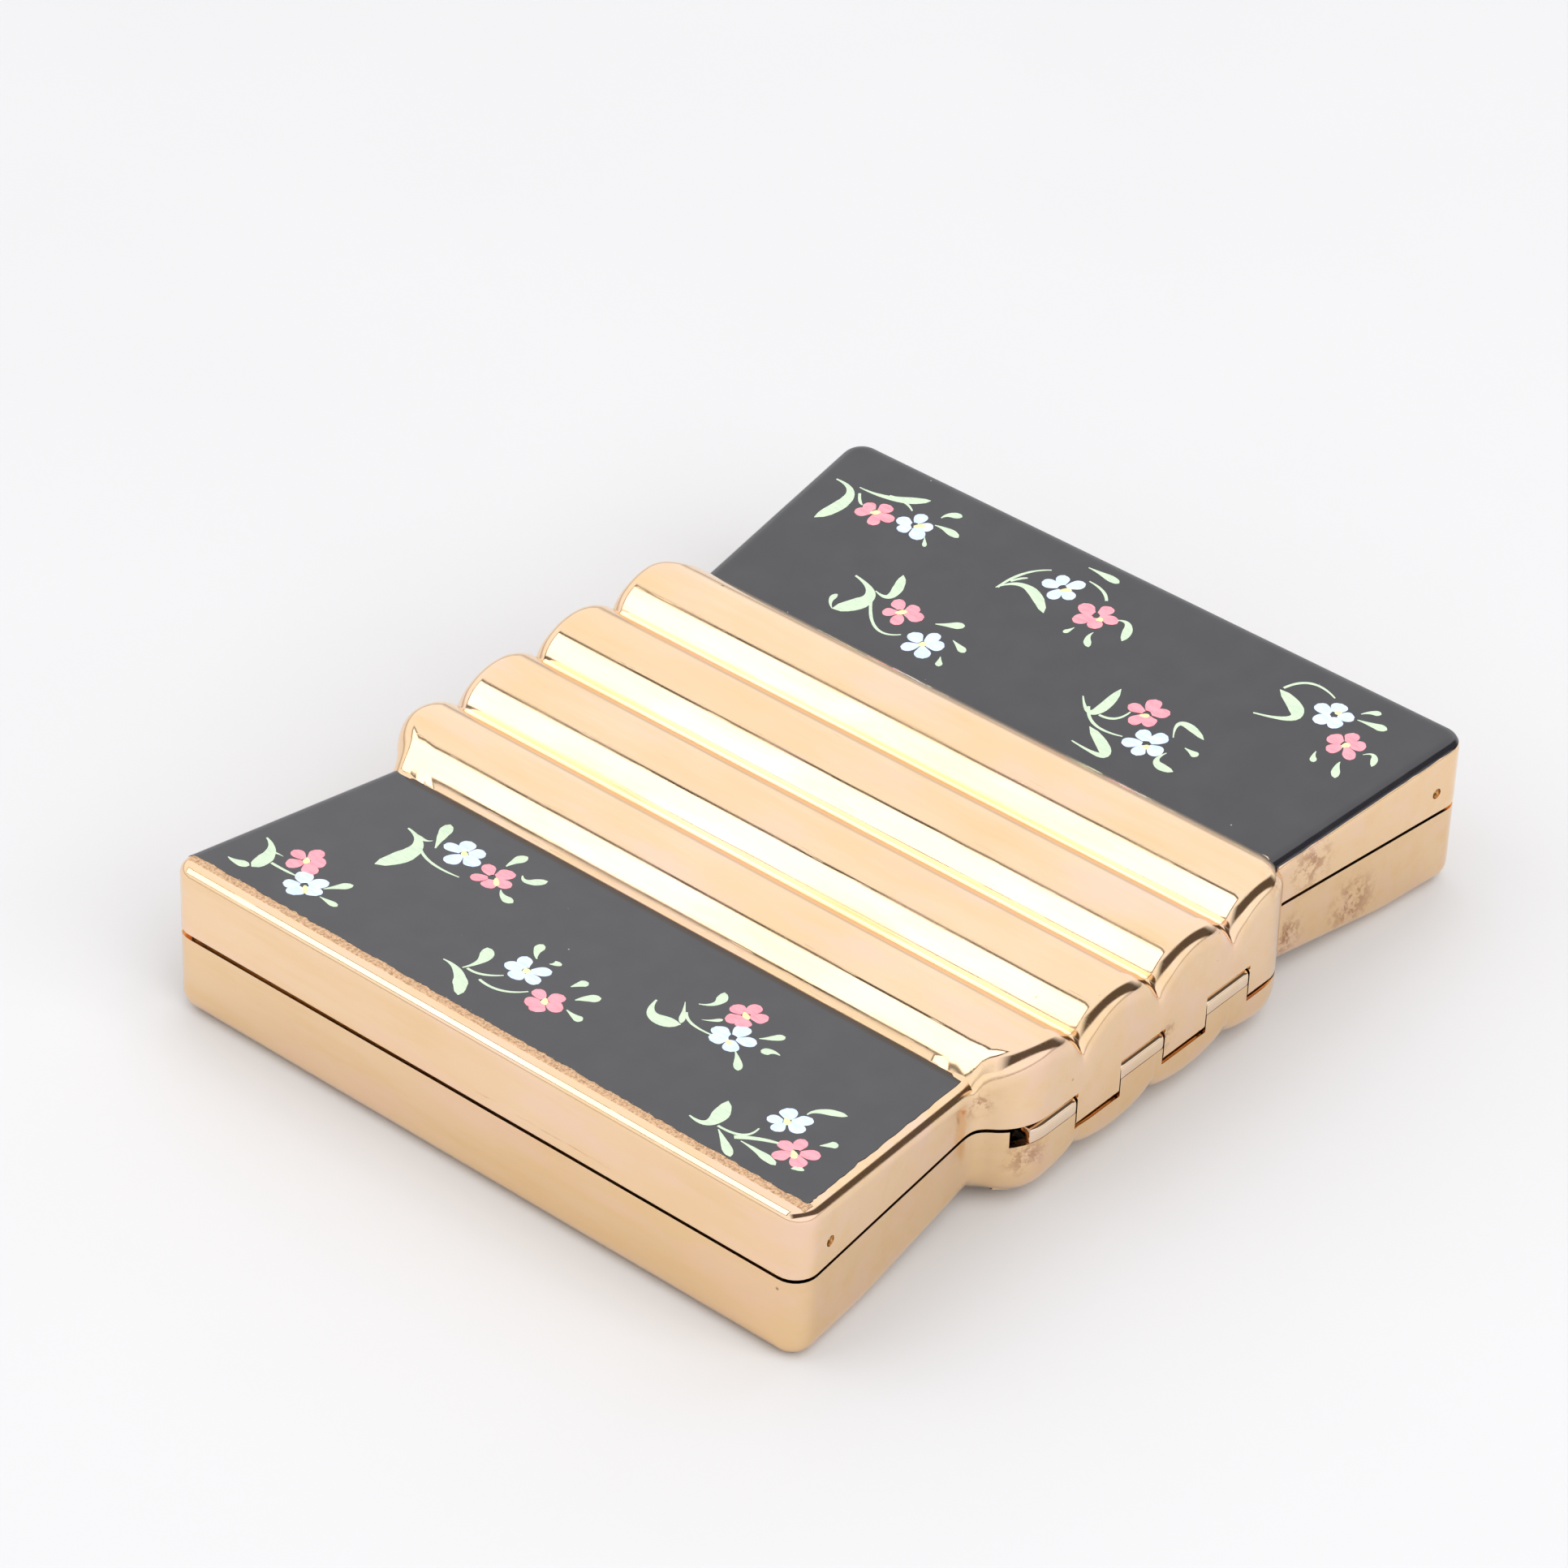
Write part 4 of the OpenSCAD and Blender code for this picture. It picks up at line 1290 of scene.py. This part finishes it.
def make_camera():
    """The camera's place was found from the case's own straight edges."""
    azimuth, elevation, roll = math.radians(39.09), math.radians(35.89), math.radians(2.306)
    target = Vector((-6.41, -9.74, 5.70)) * MM
    back = Vector((math.cos(azimuth) * math.cos(elevation), math.sin(azimuth) * math.cos(elevation),
                   math.sin(elevation)))
    right = (-back).cross(Vector((0, 0, 1))).normalized()
    up = right.cross(-back)
    turned_right = right * math.cos(roll) + up * math.sin(roll)
    turned_up = up * math.cos(roll) - right * math.sin(roll)
    camera = bpy.data.objects.new("camera", bpy.data.cameras.new("camera"))
    bpy.context.scene.collection.objects.link(camera)
    turn = Matrix((turned_right, turned_up, back)).transposed()
    camera.matrix_world = Matrix.Translation(target + back * 467.65 * MM) @ turn.to_4x4()
    camera.data.lens = 144.83
    camera.data.sensor_width = 36
    camera.data.clip_start = 0.01
    camera.data.clip_end = 20
    bpy.context.scene.camera = camera


def make_floor():
    look = Look("white_sweep", Roughness=0.6)
    grain = look.noise(40, 3)
    tint = look.ramp(grain, (0.3, (0.632, 0.631, 0.636)), (0.7, (0.642, 0.641, 0.646)))
    look.finish(Base_Color=tint)
    size = 4000
    floor = make_object("floor", [(-size, -size, 0), (size, -size, 0), (size, size, 0), (-size, size, 0)],
                        [(0, 1, 2, 3)], look.material, smooth=False)


def area_light(name, direction, across, distance, size, radiance, glossy=True):
    """A softbox of even radiance that faces the case. Its width runs along the across direction."""
    light = bpy.data.lights.new(name, "AREA")
    light.shape = "RECTANGLE"
    light.size, light.size_y = size
    light.energy = radiance * math.pi * size[0] * size[1]
    obj = bpy.data.objects.new(name, light)
    bpy.context.scene.collection.objects.link(obj)
    away = Vector(direction).normalized()
    wide = (Vector(across) - away * away.dot(Vector(across))).normalized()
    turn = Matrix((wide, away.cross(wide), away)).transposed()
    obj.matrix_world = Matrix.Translation(away * distance) @ turn.to_4x4()
    obj.visible_camera = False
    obj.visible_glossy = glossy
    return obj


def softbox_frame(light, border):
    """The softbox's black fabric edge, which the polished ribs show as a thin dark line."""
    look = Look("softbox_cloth", Roughness=0.9)
    weave = look.noise(2, 3)
    look.finish(Base_Color=look.ramp(weave, (0.4, 0.015), (0.6, 0.03)))
    half_w, half_h = light.data.size / 2 / MM, light.data.size_y / 2 / MM
    edge = border / MM
    inner = [(-half_w, -half_h), (half_w, -half_h), (half_w, half_h), (-half_w, half_h)]
    points = [(x, y, 0) for x, y in inner]
    points += [(x + math.copysign(edge, x), y + math.copysign(edge, y), 0) for x, y in inner]
    faces = [(i, (i + 1) % 4, 4 + (i + 1) % 4, 4 + i) for i in range(4)]
    frame_cloth = make_object("softbox_frame", points, faces, look.material, smooth=False)
    frame_cloth.matrix_world = light.matrix_world
    frame_cloth.visible_camera = False
    frame_cloth.visible_diffuse = False
    frame_cloth.visible_shadow = False


def make_world():
    """Pale studio walls with one darker stretch, where the room opens behind the camera."""
    world = bpy.data.worlds.new("studio")
    bpy.context.scene.world = world
    world.use_nodes = True
    sky = Nodes(world.node_tree, "Generated")

    def towards(direction, *stops):
        """Colours by how much a ray turns towards a direction, from -1 to 1."""
        turned = sky.node("VectorMath", out="Value", settings={"operation": "DOT_PRODUCT"}, Vector=sky.place)
        turned.node.inputs[1].default_value = Vector(direction).normalized()
        scaled = sky.node("MapRange", Value=turned, From_Min=-1.0)
        return sky.ramp(scaled, *[((position + 1) / 2, level) for position, level in stops])

    pale, dark, black = (0.99, 0.99, 1.0), (0.10, 0.08, 0.065), (0, 0, 0)
    # A stretch of dark room in a belt over the camera's side, seen in the ribs' rounded ends.
    belt = towards((0.259, 0.775, -0.576), (-0.36, pale), (-0.27, dark), (0.20, dark), (0.27, pale))
    facing = towards((-0.1, 0.85, 0.5), (0.25, pale), (0.55, black))
    room = sky.mix(1.0, belt, facing, "LIGHTEN")
    walls = towards((0, 0, 1), (0.02, (0.45, 0.42, 0.40)), (0.17, pale))
    background = sky.tree.nodes["Background"]
    sky.tree.links.new(sky.mix(1.0, room, walls, "MULTIPLY"), background.inputs["Color"])
    background.inputs["Strength"].default_value = 1.15


make_camera()
make_floor()
make_world()
key = area_light("key_softbox", (0.50, -0.53, 0.68), (0.36, -0.04, -0.22), distance=1.2, size=(0.80, 1.0),
                 radiance=0.97)
softbox_frame(key, border=0.08)
area_light("floor_fill", (0.1, 0.65, 0.75), (1, 0, 0), distance=1.6, size=(1.6, 1.6), radiance=2.8,
           glossy=False)
bpy.context.scene.view_settings.view_transform = "Standard"
